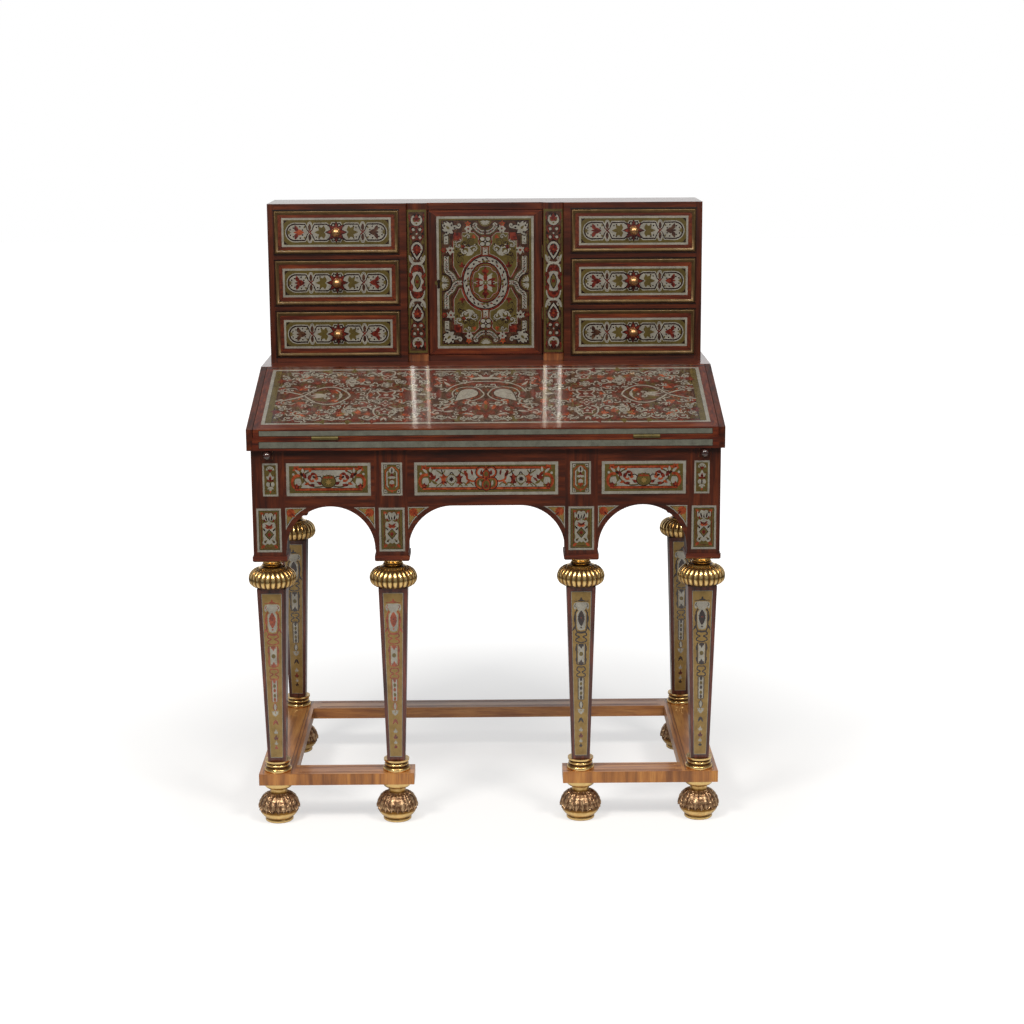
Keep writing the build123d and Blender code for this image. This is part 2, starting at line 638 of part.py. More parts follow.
def door_lock():
    """Lock case behind the door, key pipe through it and escutcheon in front."""
    x = LOCK_INSET - DOOR_X
    width, depth, height = LOCK_CASE
    back = DOOR_FRONT + DOOR_THICKNESS
    case = block((-DOOR_X, width - DOOR_X), (back, back + depth), (DOOR_MIDDLE_Z - height / 2, DOOR_MIDDLE_Z + height / 2))
    pipe_length = DOOR_THICKNESS + ESCUTCHEON_THICKNESS
    pipe = Pos(x, back - pipe_length / 2, DOOR_MIDDLE_Z) * Rot(90, 0, 0) * Cylinder(KEY_PIPE_RADIUS, pipe_length)
    plate = Pos(x, DOOR_FRONT - ESCUTCHEON_THICKNESS / 2, DOOR_MIDDLE_Z) * Rot(90, 0, 0) * Cylinder(
        ESCUTCHEON_RADIUS, ESCUTCHEON_THICKNESS
    )
    return case + pipe + plate


class Drawer:
    """One drawer of the gradin: front with its brass moulding, box and knob."""

    def __init__(self, side, level):
        self.z = GRADIN_FLOOR + sum(DRAWER_PITCHES[:level]) + level * DIVIDER_THICKNESS + DRAWER_CLEARANCE
        self.top = self.z + DRAWER_HEIGHTS[level]
        self.x_range = side_range(side, PARTITION_OUTER_X + DRAWER_CLEARANCE, GRADIN_INNER_X - DRAWER_CLEARANCE)
        self.face = GRADIN_FRONT + DRAWER_MOULDING_PROUD / 2
        self.middle = (sum(self.x_range) / 2, (self.z + self.top) / 2)

    def front(self):
        """Front board bored for the knob, and the moulding frame planted round its face."""
        back = self.face + DRAWER_FRONT_THICKNESS
        board = block(self.x_range, (self.face, back), (self.z, self.top))
        hole = Rot(90, 0, 0) * Cylinder(KNOB_SPIGOT_RADIUS, 4 * DRAWER_FRONT_THICKNESS)
        board -= Pos(self.middle[0], self.face, self.middle[1]) * hole
        inset = DRAWER_MOULDING_WIDTH
        y_range = (self.face - DRAWER_MOULDING_PROUD, self.face)
        frame = block(self.x_range, y_range, (self.z, self.top)) - block(
            (self.x_range[0] + inset, self.x_range[1] - inset), y_range, (self.z + inset, self.top - inset)
        )
        return [board, frame]

    def box(self):
        """Two sides, a back and a bottom behind the front."""
        wall = DRAWER_SIDE_THICKNESS
        low, high = self.x_range
        front, back = self.face + DRAWER_FRONT_THICKNESS, GRADIN_INNER_BACK - DRAWER_REAR_GAP
        floor = self.z + DRAWER_BOTTOM_THICKNESS
        rim = self.top - 2 * DRAWER_BOTTOM_THICKNESS
        return [
            block((low, low + wall), (front, back), (floor, rim)),
            block((high - wall, high), (front, back), (floor, rim)),
            block((low + wall, high - wall), (back - wall, back), (floor, rim)),
            block((low, high), (front, back), (self.z, floor)),
        ]

    def knob(self):
        """Round brass knob with a spigot through the front."""
        knob = pull_knob(KNOB_RADIUS, KNOB_REACH, KNOB_SPIGOT_RADIUS, DRAWER_FRONT_THICKNESS)
        return Pos(self.middle[0], self.face, self.middle[1]) * Rot(90, 0, 0) * knob


# ---- Nodes -------------------------------------------------------------------------------------
def stand_nodes():
    """Feet, stretchers, rings, legs and capitals."""
    places = LEG_PLACES.values()
    nodes = {"bun_feet": [bun_foot(p) for p in places], "leg_base_rings": [base_ring(p) for p in places]}
    nodes.update({"leg_" + name: [leg(place)] for name, place in LEG_PLACES.items()})
    nodes["leg_capitals"] = [leg_capital(p) for p in places]
    nodes.update(stretchers())
    return nodes


def case_nodes():
    """Plinths, posts, aprons, bed, cheeks, ledge, fall and lopers."""
    places = LEG_PLACES.values()
    nodes = {
        "post_plinths": [post_plinth(p) for p in places],
        "case_posts": [case_post(p) for p in places],
        "apron_front": front_aprons(),
        "case_back": case_back(),
        "writing_bed": [writing_bed()],
        "ledge_board": [block((-CHEEK_X, CHEEK_X), (LEDGE_FRONT, CASE_BACK), (LEDGE_Z, LEDGE_TOP))],
        "fall_front": [fall_front()],
        "fall_hinge_bed_leaves": fall_hinge_bed_leaves(),
        "fall_hinge_fall_leaves": fall_hinge_fall_leaves(),
        "loper_guides": [loper_guide(side) for side in SIDES.values()],
    }
    for name, side in SIDES.items():
        nodes["apron_side_" + name] = [side_apron(side)]
        nodes["cheek_" + name] = [cheek(side)]
        nodes["loper_" + name] = [loper(side)]
        nodes["loper_knob_" + name] = [loper_knob(side)]
    return nodes


def gradin_nodes():
    """Gradin carcase, pilasters, door and drawers."""
    back_y = (GRADIN_INNER_BACK, GRADIN_BACK)
    nodes = {
        "gradin_top": [recessed_board((GRADIN_CEILING, GRADIN_TOP))],
        "gradin_base": [recessed_board((LEDGE_TOP, GRADIN_FLOOR))],
        "gradin_back": [block((-GRADIN_INNER_X, GRADIN_INNER_X), back_y, (GRADIN_FLOOR, GRADIN_CEILING))],
        "gradin_dividers": gradin_dividers(),
        "gradin_pilasters": [pilaster(side) for side in SIDES.values()],
        "door_panel": [door_panel()],
        "door_hinge_frame_leaves": door_hinge_frame_leaves(),
        "door_hinge_door_leaves": door_hinge_leaf(DOOR_LEAF_X, 1, DOOR_PIN_RADIUS + HINGE_RUNNING_CLEARANCE),
        "door_lock": [door_lock()],
    }
    for name, side in SIDES.items():
        wall = side_range(side, GRADIN_INNER_X, GRADIN_X)
        nodes["gradin_side_" + name] = [block(wall, (GRADIN_FRONT, GRADIN_BACK), (LEDGE_TOP, GRADIN_TOP))]
        for level, height_name in enumerate(("bottom", "middle", "top")):
            drawer = Drawer(side, level)
            nodes[f"drawer_front_{name}_{height_name}"] = drawer.front()
            nodes[f"drawer_box_{name}_{height_name}"] = drawer.box()
            nodes[f"drawer_knob_{name}_{height_name}"] = [drawer.knob()]
    return nodes


def main():
    """Build every node and write one STEP file for each."""
    os.makedirs("parts", exist_ok=True)
    for name, solids in {**stand_nodes(), **case_nodes(), **gradin_nodes()}.items():
        single = [solid for shape in solids for solid in shape.solids()]
        export_step(single[0] if len(single) == 1 else Compound(children=single), f"parts/{name}.step")


main()
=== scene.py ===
"""Bureau mazarin: marquetry, gilding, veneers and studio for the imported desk.

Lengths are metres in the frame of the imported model. Ornament is drawn flat in millimetres and cut as a
real inlay, so each colour of the marquetry is a field of its own in the mesh.
"""

from __future__ import annotations

import logging
import math
from collections.abc import Callable, Sequence
from dataclasses import dataclass, field
from enum import Enum
from functools import partial

import bmesh
import bpy
from bpy.types import Material, Mesh, Node, NodeTree, Object
from bpy.types import NodeSocket as Socket
from mathutils import Matrix, Vector
from mathutils.geometry import delaunay_2d_cdt


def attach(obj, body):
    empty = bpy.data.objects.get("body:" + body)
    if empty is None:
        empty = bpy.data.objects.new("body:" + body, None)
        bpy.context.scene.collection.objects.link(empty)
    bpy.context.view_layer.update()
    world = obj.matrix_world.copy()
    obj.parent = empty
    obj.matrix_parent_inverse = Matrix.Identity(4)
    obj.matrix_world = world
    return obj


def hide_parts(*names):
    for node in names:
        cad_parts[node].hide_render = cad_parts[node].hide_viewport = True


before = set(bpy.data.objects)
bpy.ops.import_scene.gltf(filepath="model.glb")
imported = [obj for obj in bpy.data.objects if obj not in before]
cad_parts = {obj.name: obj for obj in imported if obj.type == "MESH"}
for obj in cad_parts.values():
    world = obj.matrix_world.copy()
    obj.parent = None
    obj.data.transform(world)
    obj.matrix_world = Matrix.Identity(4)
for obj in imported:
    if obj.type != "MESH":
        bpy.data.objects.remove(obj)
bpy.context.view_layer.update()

LOG = logging.getLogger("bureau")
MM = 0.001
# points nearer than this, in metres, are one
WELD = 1e-6
# the desk's two sides, with their sign along X
SIDES = (("left", -1), ("right", 1))
Point = tuple[float, float]
Place = tuple[float, float, float]
Path = list[Point]
# x, y, z and depth of the points round a carved shell; depth sets how much painted shade the gilding takes there
Ring = list[tuple[float, float, float, float]]


# ------------------
# Finishes
# ------------------
def linear(code: str) -> tuple[float, float, float, float]:
    """Turn an sRGB hex colour to linear RGBA.

    Args:
        code: six hex digits after a hash.

    Returns:
        Linear red, green and blue, and an alpha of one.
    """
    parts = [int(code[i : i + 2], 16) / 255 for i in (1, 3, 5)]
    return (*[c / 12.92 if c <= 0.04045 else ((c + 0.055) / 1.055) ** 2.4 for c in parts], 1.0)


class Graph:
    """A node tree under construction."""

    def __init__(self, tree: NodeTree, family: str) -> None:
        """Take a tree, and the family its nodes' types start with."""
        self.tree, self.family = tree, family

    def add(self, kind: str, inputs: dict, out: str | int = 0, **settings: object) -> Socket:
        """Add a node with its settings and links.

        Args:
            kind: the node's type, without the family's prefix, or in full for one of another family.
            inputs: each input, by name or number, to a plain value or to the socket that feeds it.
            out: which output is wanted.
            settings: the node's own settings; stops gives a colour ramp as (place, hex) pairs.

        Returns:
            The output asked for.
        """
        node = self.tree.nodes.new(kind if "Node" in kind else self.family + "Node" + kind)
        stops = settings.pop("stops", None)
        for key, value in settings.items():
            setattr(node, key, value)
        if stops:
            elements = node.color_ramp.elements
            elements[0].position, elements[1].position = stops[0][0], stops[-1][0]
            for place, _ in stops[1:-1]:
                elements.new(place)
            for element, (_, code) in zip(elements, stops):
                element.color = linear(code)
        self.feed(node, inputs)
        return node.outputs[out]

    def feed(self, node: Node, inputs: dict) -> None:
        """Set or link a node's inputs."""
        for key, value in inputs.items():
            if isinstance(value, Socket):
                self.tree.links.new(value, node.inputs[key])
            else:
                node.inputs[key].default_value = value


class Shader(Graph):
    """A material under construction: its Principled surface and the nodes that feed it."""

    def __init__(self, name: str) -> None:
        """Start a material that has only its Principled surface and its place on the object."""
        self.material = bpy.data.materials.new(name)
        self.material.use_nodes = True
        super().__init__(self.material.node_tree, "Shader")
        self.surface = self.tree.nodes["Principled BSDF"]
        self.place = self.add("TexCoord", {}, "Object")

    def finish(self, **inputs: object) -> Material:
        """Feed the surface, where an underscore stands for a space in a socket's name, and give the material."""
        self.feed(self.surface, {key.replace("_", " "): value for key, value in inputs.items()})
        return self.material


class Grain(Enum):
    """The way a veneer's figure runs, as the stretch of its pattern along X, Y and Z."""

    ALONG_X = (0.07, 1.0, 1.0)
    ALONG_Y = (1.0, 0.07, 1.0)
    ALONG_Z = (1.0, 1.0, 0.07)


@dataclass(frozen=True)
class Veneer:
    """Saw-cut veneer under rubbed shellac: striped figure, open pores, a soft sheen under a thin clear coat."""

    name: str
    dark: str
    middle: str
    light: str
    grain: Grain
    stripe_mm: float
    gloss: float
    patch_mm: float = 110.0
    pores_per_stripe: float = 5.5
    pore_depth_mm: float = 0.05

    def material(self) -> Material:
        """Build the material: slow patches shift fine stripes, and pores darken them."""
        s = Shader(self.name)
        stripe = self.stripe_mm * MM
        place = s.add("Mapping", {"Vector": s.place, "Scale": self.grain.value})
        stripes = s.add("TexNoise", {"Vector": place, "Scale": 1 / stripe, "Detail": 5.0, "Roughness": 0.6})
        patches = s.add("TexNoise", {"Vector": s.place, "Scale": 1 / (self.patch_mm * MM), "Detail": 3.0})
        pores = s.add("TexNoise", {"Vector": place, "Scale": self.pores_per_stripe / stripe, "Detail": 2.0})
        shift = s.add("MapRange", {"Value": patches, "From Min": 0.3, "From Max": 0.7, "To Min": -0.07, "To Max": 0.07})
        both = s.add("Math", {0: stripes, 1: shift}, operation="ADD")
        colour = s.add("ValToRGB", {"Fac": both}, stops=[(0.3, self.dark), (0.5, self.middle), (0.72, self.light)])
        pitting = s.add("MapRange", {"Value": pores, "From Min": 0.34, "From Max": 0.48, "To Min": 0.5, "To Max": 0.0})
        colour = s.add("Mix", {0: pitting, 6: colour, 7: linear(self.dark)}, 2, data_type="RGBA")
        rough = s.add("MapRange", {"Value": stripes, "To Min": 0.36, "To Max": 0.24})
        relief = s.add("Bump", {"Height": pores, "Distance": self.pore_depth_mm * MM, "Strength": 0.35})
        return s.finish(Base_Color=colour, Roughness=rough, Coat_Weight=self.gloss, Coat_Roughness=0.06, Normal=relief)


@dataclass(frozen=True)
class Sheet:
    """Sheet metal let into veneer, filed flush and rubbed: clouded tarnish over a satin face."""

    name: str
    dull: str
    bright: str
    metallic: float
    roughness: float
    coat: float = 0.3
    # widths of the clouds and of the rubbing marks, 65 and 900 of them to the metre
    cloud_mm: float = 1000 / 65
    rub_mm: float = 1000 / 900
    rub_depth_mm: float = 0.03

    def material(self) -> Material:
        """Build the material: faint clouds of tarnish, 15 mm across, under rubbing marks of about 1 mm."""
        s = Shader(self.name)
        cloud = {"Vector": s.place, "Scale": 1 / (self.cloud_mm * MM), "Detail": 5.0, "Roughness": 0.65}
        clouds = s.add("TexNoise", cloud)
        rubbed = s.add("TexNoise", {"Vector": s.place, "Scale": 1 / (self.rub_mm * MM), "Detail": 2.0})
        marks = s.add("MapRange", {"Value": rubbed, "To Min": -0.2, "To Max": 0.2})
        both = s.add("Math", {0: clouds, 1: marks}, operation="ADD")
        colour = s.add("ValToRGB", {"Fac": both}, stops=[(0.24, self.dull), (0.72, self.bright)])
        rough = s.add("MapRange", {"Value": clouds, "To Min": self.roughness + 0.12, "To Max": self.roughness - 0.08})
        relief = s.add("Bump", {"Height": rubbed, "Distance": self.rub_depth_mm * MM, "Strength": 0.3})
        face = {"Base_Color": colour, "Metallic": self.metallic, "Roughness": rough, "Normal": relief}
        return s.finish(**face, Coat_Weight=self.coat, Coat_Roughness=0.05)


@dataclass(frozen=True)
class Shell:
    """Tortoiseshell on a painted ground, or stained horn: mottled colour deep under a hard polish."""

    name: str
    dark: str
    middle: str
    light: str
    mottle_mm: float

    def material(self) -> Material:
        """Build the material: mottling that runs from the dark of the shell to the paint behind it."""
        s = Shader(self.name)
        place = {"Vector": s.place, "Scale": 1 / (self.mottle_mm * MM), "Detail": 5.0, "Roughness": 0.62}
        stops = [(0.34, self.dark), (0.5, self.middle), (0.66, self.light)]
        colour = s.add("ValToRGB", {"Fac": s.add("TexNoise", place)}, stops=stops)
        return s.finish(Base_Color=colour, Roughness=0.2, Coat_Weight=0.9, Coat_Roughness=0.05)


@dataclass(frozen=True)
class Gilding:
    """Burnished gilding: a painted highlight where it stands proud, brown in the hollows with dirt and painted shade.
    """

    name: str
    hollow: str
    body: str
    high: str
    roughness: float
    wear: float
    # width of the lumps of a roughly cut ornament, 0 for a smooth one
    lumps_mm: float = 0.0
    # widths of the rubbed patches and of the grain of the ground, and the depth of that grain
    rubbed_mm: float = 10.0
    grain_mm: float = 1000 / 900
    grain_depth_mm: float = 0.04

    def material(self) -> Material:
        """Build the material; the piece's own depth attribute runs from 0 on the crests to 1 in the hollows, and paints
        highlight on the crests and shade in the hollows.
        """
        s = Shader(self.name)
        depth = s.add("Attribute", {}, "Fac", attribute_name="depth")
        rubbed = {"Vector": s.place, "Scale": 1 / (self.rubbed_mm * MM), "Detail": 5.0, "Roughness": 0.65}
        worn = s.add("TexNoise", rubbed)
        patchy = {"Value": worn, "From Min": 0.3, "From Max": 0.7, "To Min": -self.wear, "To Max": self.wear}
        shift = s.add("MapRange", patchy)
        proud = s.add("Math", {0: 1.0, 1: depth}, operation="SUBTRACT")
        level = s.add("Math", {0: proud, 1: shift}, operation="ADD", use_clamp=True)
        # painted light: the ramp runs from dirt with painted shade in the hollows to a painted highlight on the crests
        colour = s.add("ValToRGB", {"Fac": level}, stops=[(0.08, self.hollow), (0.45, self.body), (0.95, self.high)])
        metal = s.add("MapRange", {"Value": level, "From Max": 0.5, "To Min": 0.4, "To Max": 1.0})
        dull = {"Value": level, "From Max": 0.6, "To Min": self.roughness + 0.3, "To Max": self.roughness}
        rough = s.add("MapRange", dull)
        fine = s.add("TexNoise", {"Vector": s.place, "Scale": 1 / (self.grain_mm * MM), "Detail": 3.0})
        bump = s.add("Bump", {"Height": fine, "Distance": self.grain_depth_mm * MM, "Strength": 0.5})
        if self.lumps_mm:
            size = self.lumps_mm * MM
            lumps = s.add("TexNoise", {"Vector": s.place, "Scale": 1 / size, "Detail": 1.5})
            bump = s.add("Bump", {"Height": lumps, "Distance": 0.45 * size, "Strength": 0.9, "Normal": bump})
        return s.finish(Base_Color=colour, Metallic=metal, Roughness=rough, Normal=bump)


class Finishes:
    """Every finish of the desk, built once."""

    def __init__(self) -> None:
        """Build the materials."""
        kingwood, rosewood = ("#240c05", "#421a0b", "#5e2b15"), ("#300f07", "#55200e", "#723718")
        walnut, oak = ("#74462a", "#a36b3a", "#bb874d"), ("#7a5733", "#a07a4c", "#bb9864")
        self.kingwood_x, self.kingwood_y, self.kingwood_z = self.laid("kingwood_veneer", kingwood, 9.0, 0.35)
        self.rosewood_x, self.rosewood_y, self.rosewood_z = self.laid("rosewood_border", rosewood, 6.0, 0.5)
        self.walnut_x, self.walnut_y = self.laid("walnut_veneer", walnut, 12.0, 0.2, 2)
        self.oak_x, self.oak_y = self.laid("quartered_oak", oak, 5.0, 0.05, 2)
        upright = Grain.ALONG_Z
        self.leg_wood = Veneer("stained_pear_leg", "#260e0a", "#4c2118", "#6c3627", upright, 7.0, 0.35).material()
        self.walnut_z = Veneer("walnut_crossbanding", "#71431f", "#a0672f", "#bb823f", upright, 16.0, 0.2).material()
        self.block = Veneer("walnut_pilaster_block", "#4e2814", "#6f4023", "#8f5a32", upright, 8.0, 0.4).material()
        self.gilt = Gilding("burnished_water_gilding", "#4a2e13", "#8f672f", "#e9c888", 0.25, 0.16).material()
        self.worn_gilt = Gilding("rubbed_oil_gilding", "#2b1810", "#7d5c43", "#cfae87", 0.36, 0.3, 2.2).material()
        self.knob = Gilding("turned_brass_knob", "#3e2614", "#845a34", "#b98e62", 0.38, 0.25).material()
        self.bearer_knob = Shell("turned_pear_knob", "#160b09", "#2e1916", "#4c2e29", 5.0).material()
        self.moulding = Sheet("drawn_brass_moulding", "#4a3820", "#6b5433", 0.7, 0.42, 0.1).material()
        self.cast_brass = Sheet("cast_brass_hinge", "#453b1c", "#675a30", 0.6, 0.46, 0.0).material()
        # in the order of Inlay
        self.inlays = [
            Sheet("inlaid_brass", "#4a3e1f", "#6c5e31", 0.4, 0.24, 0.7).material(),
            Sheet("inlaid_pewter", "#7c786f", "#a6a296", 0.35, 0.24, 0.7).material(),
            Shell("red_tortoiseshell", "#2a0a06", "#501810", "#702c1c", 7.0).material(),
            Shell("vermilion_horn", "#5c1f0e", "#79331a", "#924527", 9.0).material(),
            # ebony, which also serves as the painted shadow round the drawers' openings, along the fall's top edge and
            # in the keyhole
            Shell("ebony_line", "#0d0605", "#1d0e0a", "#2b1710", 5.0).material(),
            Shell("brown_tortoiseshell", "#1f1009", "#392116", "#513927", 10.0).material(),
            Sheet("inlaid_gilt_brass", "#775e2f", "#957a45", 0.4, 0.3, 0.4).material(),
            self.walnut_z,
            Veneer("plum_string", "#2e120c", "#4d2014", "#6b3320", Grain.ALONG_X, 6.0, 0.3).material(),
            Sheet("tarnished_pewter", "#57584e", "#77786c", 0.4, 0.4, 0.5).material(),
            self.kingwood_x,
            self.kingwood_z,
            self.rosewood_x,
            self.rosewood_y,
            self.block,
        ]

    @staticmethod
    def laid(name: str, colours: tuple[str, ...], stripe_mm: float, gloss: float, ways: int = 3) -> list[Material]:
        """Give one wood laid along, deep and upright, or in the first of these ways."""
        words = ("along", "deep", "upright")[:ways]
        return [Veneer(f"{name}_{word}", *colours, way, stripe_mm, gloss).material() for word, way in zip(words, Grain)]


class Inlay(Enum):
    """What a field of the marquetry is cut from, as its place in Finishes.inlays."""

    BRASS = 0
    PEWTER = 1
    RED = 2
    VERMILION = 3
    EBONY = 4
    BROWN = 5
    GOLD = 6
    WALNUT = 7
    PLUM = 8
    TARNISHED = 9
    KINGWOOD = 10
    KINGWOOD_UPRIGHT = 11
    ROSEWOOD = 12
    ROSEWOOD_DEEP = 13
    BLOCK = 14


# ------------------
# Flat ornament
# ------------------
def arc(centre: Point, radii: Point, start: float, end: float, count: int = 10) -> Path:
    """Points of an elliptical arc between two angles in degrees."""
    angles = [math.radians(start + (end - start) * i / count) for i in range(count + 1)]
    return [(centre[0] + radii[0] * math.cos(a), centre[1] + radii[1] * math.sin(a)) for a in angles]


def volute(centre: Point, outer: float, inner: float, start: float, turns: float) -> Path:
    """Points of a spiral that winds in from the outer to the inner radius, starting at an angle in degrees."""
    count = max(8, int(11 * abs(turns)))
    path = []
    for i in range(count + 1):
        t = i / count
        angle, radius = math.radians(start + 360 * turns * t), outer + (inner - outer) * t**0.8
        path.append((centre[0] + radius * math.cos(angle), centre[1] + radius * math.sin(angle)))
    return path


def curve(*points: Point, steps: int = 5) -> Path:
    """A smooth path through the given points."""
    ends = [points[0], *points, points[-1]]
    path = []
    for a, b, c, d in zip(ends, ends[1:], ends[2:], ends[3:]):
        for t in (i / steps for i in range(steps)):
            place = []
            for p, q, r, s in zip(a, b, c, d):
                square, cube = 2 * p - 5 * q + 4 * r - s, 3 * q - p - 3 * r + s
                place.append((2 * q + (r - p) * t + square * t**2 + cube * t**3) / 2)
            path.append((place[0], place[1]))
    return [*path, points[-1]]


@dataclass
class Drawing:
    """Flat ornament in millimetres, where a later field lies over an earlier one."""

    fields: list[tuple[Path, Inlay]] = field(default_factory=list)

    def area(self, points: Sequence[Point], inlay: Inlay) -> None:
        """Add a closed field, turned anticlockwise."""
        signed = sum(a[0] * b[1] - b[0] * a[1] for a, b in zip(points, [*points[1:], points[0]]))
        if abs(signed) > 0.04:
            self.fields.append((list(points) if signed > 0 else list(reversed(points)), inlay))

    def rectangle(self, half_x: float, half_y: float, inlay: Inlay, middle: Point = (0, 0)) -> None:
        """Add an upright rectangle by its half sizes."""
        x, y = middle
        signs = ((-1, -1), (1, -1), (1, 1), (-1, 1))
        self.area([(x + sx * half_x, y + sy * half_y) for sx, sy in signs], inlay)

    def oval(self, centre: Point, radii: Point, inlay: Inlay, count: int = 16) -> None:
        """Add an ellipse."""
        self.area(arc(centre, radii, 0, 360, count)[:-1], inlay)

    def almond(self, centre: Point, half_x: float, half_y: float, inlay: Inlay) -> None:
        """Add an upright field pointed at both ends."""
        rise = [i / 8 for i in range(-8, 9)]
        side = [(centre[0] + half_x * (1 - t * t) ** 0.85, centre[1] + half_y * t) for t in rise]
        self.area(side + [(2 * centre[0] - x, y) for x, y in side[-2:0:-1]], inlay)

    def band(self, path: Sequence[Point], width: float, inlay: Inlay, taper: float = 0.0, closed: bool = False) -> None:
        """Add a band along a path.

        Args:
            path: its middle line.
            width: its full width.
            inlay: what it is cut from.
            taper: the share of the width that the last end loses.
            closed: whether the last point joins the first.
        """
        line = [*path, path[0]] if closed else list(path)
        last = len(line) - 1
        edges = []
        for i, (x, y) in enumerate(line):
            before = line[i - 1] if i else (line[-2] if closed else line[0])
            after = line[i + 1] if i < last else (line[1] if closed else line[-1])
            dx, dy = after[0] - before[0], after[1] - before[1]
            half = max(0.5 * width * (1 - taper * (i / last) ** 1.5), 0.08) / (math.hypot(dx, dy) or 1.0)
            edges.append(((x - dy * half, y + dx * half), (x + dy * half, y - dx * half)))
        for (a, b), (c, d) in zip(edges, edges[1:]):
            self.area([a, b, d, c], inlay)

    def strap(self, path: Sequence[Point], width: float, inlay: Inlay, lines: Sequence[Inlay], edge: float) -> None:
        """Add a band with fine lines of other inlays down both edges, the outermost line first."""
        for i, line in enumerate(lines):
            self.band(path, width + 2 * edge * (len(lines) - i), line)
        self.band(path, width, inlay)

    def leaf(self, base: Point, angle: float, length: float, width: float, inlay: Inlay, bend: float = 0.0) -> None:
        """Add a pointed leaf.

        Args:
            base: where it grows from.
            angle: the way it sets out, in degrees.
            length: its length.
            width: its width at the belly.
            inlay: what it is cut from.
            bend: how far it turns over its length, in degrees.
        """
        left, right, (x, y) = [], [], base
        count = 5
        for i in range(count + 1):
            heading = math.radians(angle + bend * i / count)
            half = width * 0.5 * math.sin(math.pi * (i / count) ** 0.75)
            left.append((x - math.sin(heading) * half, y + math.cos(heading) * half))
            right.append((x + math.sin(heading) * half, y - math.cos(heading) * half))
            x += math.cos(heading) * length / count
            y += math.sin(heading) * length / count
        self.area(right + left[-2:0:-1], inlay)

    def leaves(self, *rows: tuple) -> None:
        """Add leaves, each row being the x and y of its base and then the rest of what a leaf takes."""
        for x, y, *rest in rows:
            self.leaf((x, y), *rest)

    def spray(
        self,
        base: Point,
        angle: float,
        size: float,
        inlay: Inlay,
        count: int = 3,
        spread: float = 50.0,
        width: float = 0.4,
    ) -> None:
        """Add a fan of leaves, longest in the middle, such as a husk, trefoil or palmette."""
        for i in range(count):
            t = 2 * i / (count - 1) - 1
            self.leaf(base, angle + spread * t, size * (1 - 0.3 * abs(t)), size * width, inlay, spread * 0.5 * t)

    def flower(
        self,
        centre: Point,
        radius: float,
        petals: int,
        inlay: Inlay,
        eye: Inlay,
        turn: float = 0.0,
        width: float = 0.6,
    ) -> None:
        """Add a rosette of petals round an eye."""
        for i in range(petals):
            self.leaf(centre, turn + 360 * i / petals, radius, radius * width, inlay)
        self.oval(centre, (radius * 0.25, radius * 0.25), eye, 8)

    def star(self, centre: Point, outer: float, inner: float, points: int, inlay: Inlay) -> None:
        """Add a star with a point to the right."""
        path = []
        for i in range(2 * points):
            radius, angle = inner if i % 2 else outer, math.pi * i / points
            path.append((centre[0] + radius * math.cos(angle), centre[1] + radius * math.sin(angle)))
        self.area(path, inlay)

    def scroll(
        self,
        centre: Point,
        radius: float,
        start: float,
        turns: float,
        inlay: Inlay,
        line: Inlay | None = None,
        leaves: int = 3,
        width: float = 0.24,
    ) -> None:
        """Add a leafy volute that winds in to a bud.

        Args:
            centre: its eye.
            radius: its outer radius.
            start: the angle from the eye at which it sets out, in degrees.
            turns: how far it winds, clockwise where negative.
            inlay: what it is cut from.
            line: an inlay for a fine edge round the stem.
            leaves: how many leaves grow from its back.
            width: the stem's width as a share of the radius.
        """
        path = volute(centre, radius, radius * 0.2, start, turns)
        sign = 1 if turns > 0 else -1
        for i in range(leaves):
            at = path[int((0.06 + 0.5 * i / leaves) * (len(path) - 1))]
            out = math.degrees(math.atan2(at[1] - centre[1], at[0] - centre[0]))
            self.leaf(at, out + 30 * sign, radius * (0.8 - 0.12 * i), radius * 0.34, inlay, 75 * sign)
        if line is not None:
            self.band(path, radius * width + 1.8, line, 0.4)
        self.band(path, radius * width, inlay, 0.5)
        self.oval(centre, (radius * 0.24, radius * 0.24), inlay, 8)

    def dots(self, places: Sequence[Point], radius: float, inlay: Inlay) -> None:
        """Add round dots."""
        for place in places:
            self.oval(place, (radius, radius), inlay, 8)

    def laid(self, other: Drawing, move: Callable[[Point], Point]) -> None:
        """Lay every field of another drawing over this one, with each point moved."""
        for points, inlay in other.fields:
            self.area([move(p) for p in points], inlay)

    def mirrored(self, part: Drawing, across: bool = True, upright: bool = False) -> None:
        """Lay a part and its mirror images: left and right across, top and bottom upright."""
        for sx in (1, -1) if across else (1,):
            for sy in (1, -1) if upright else (1,):
                self.laid(part, lambda p, sx=sx, sy=sy: (p[0] * sx, p[1] * sy))


# ------------------
# Cutting and placing
# ------------------
@dataclass(frozen=True)
class Face:
    """A flat face of the desk in millimetres: the middle of its panel, and how the drawing's X and Y run on it."""

    middle: Place
    across: Place = (1.0, 0.0, 0.0)
    up: Place = (0.0, 0.0, 1.0)
    taper: float = 0.0

    def at(self, x: float, y: float, height: float) -> Vector:
        """The point in metres of a place on the drawing, at a height above the face."""
        across, up = Vector(self.across).normalized(), Vector(self.up).normalized()
        return (Vector(self.middle) + across * x * (1 + self.taper * y) + up * y + across.cross(up) * height) * MM


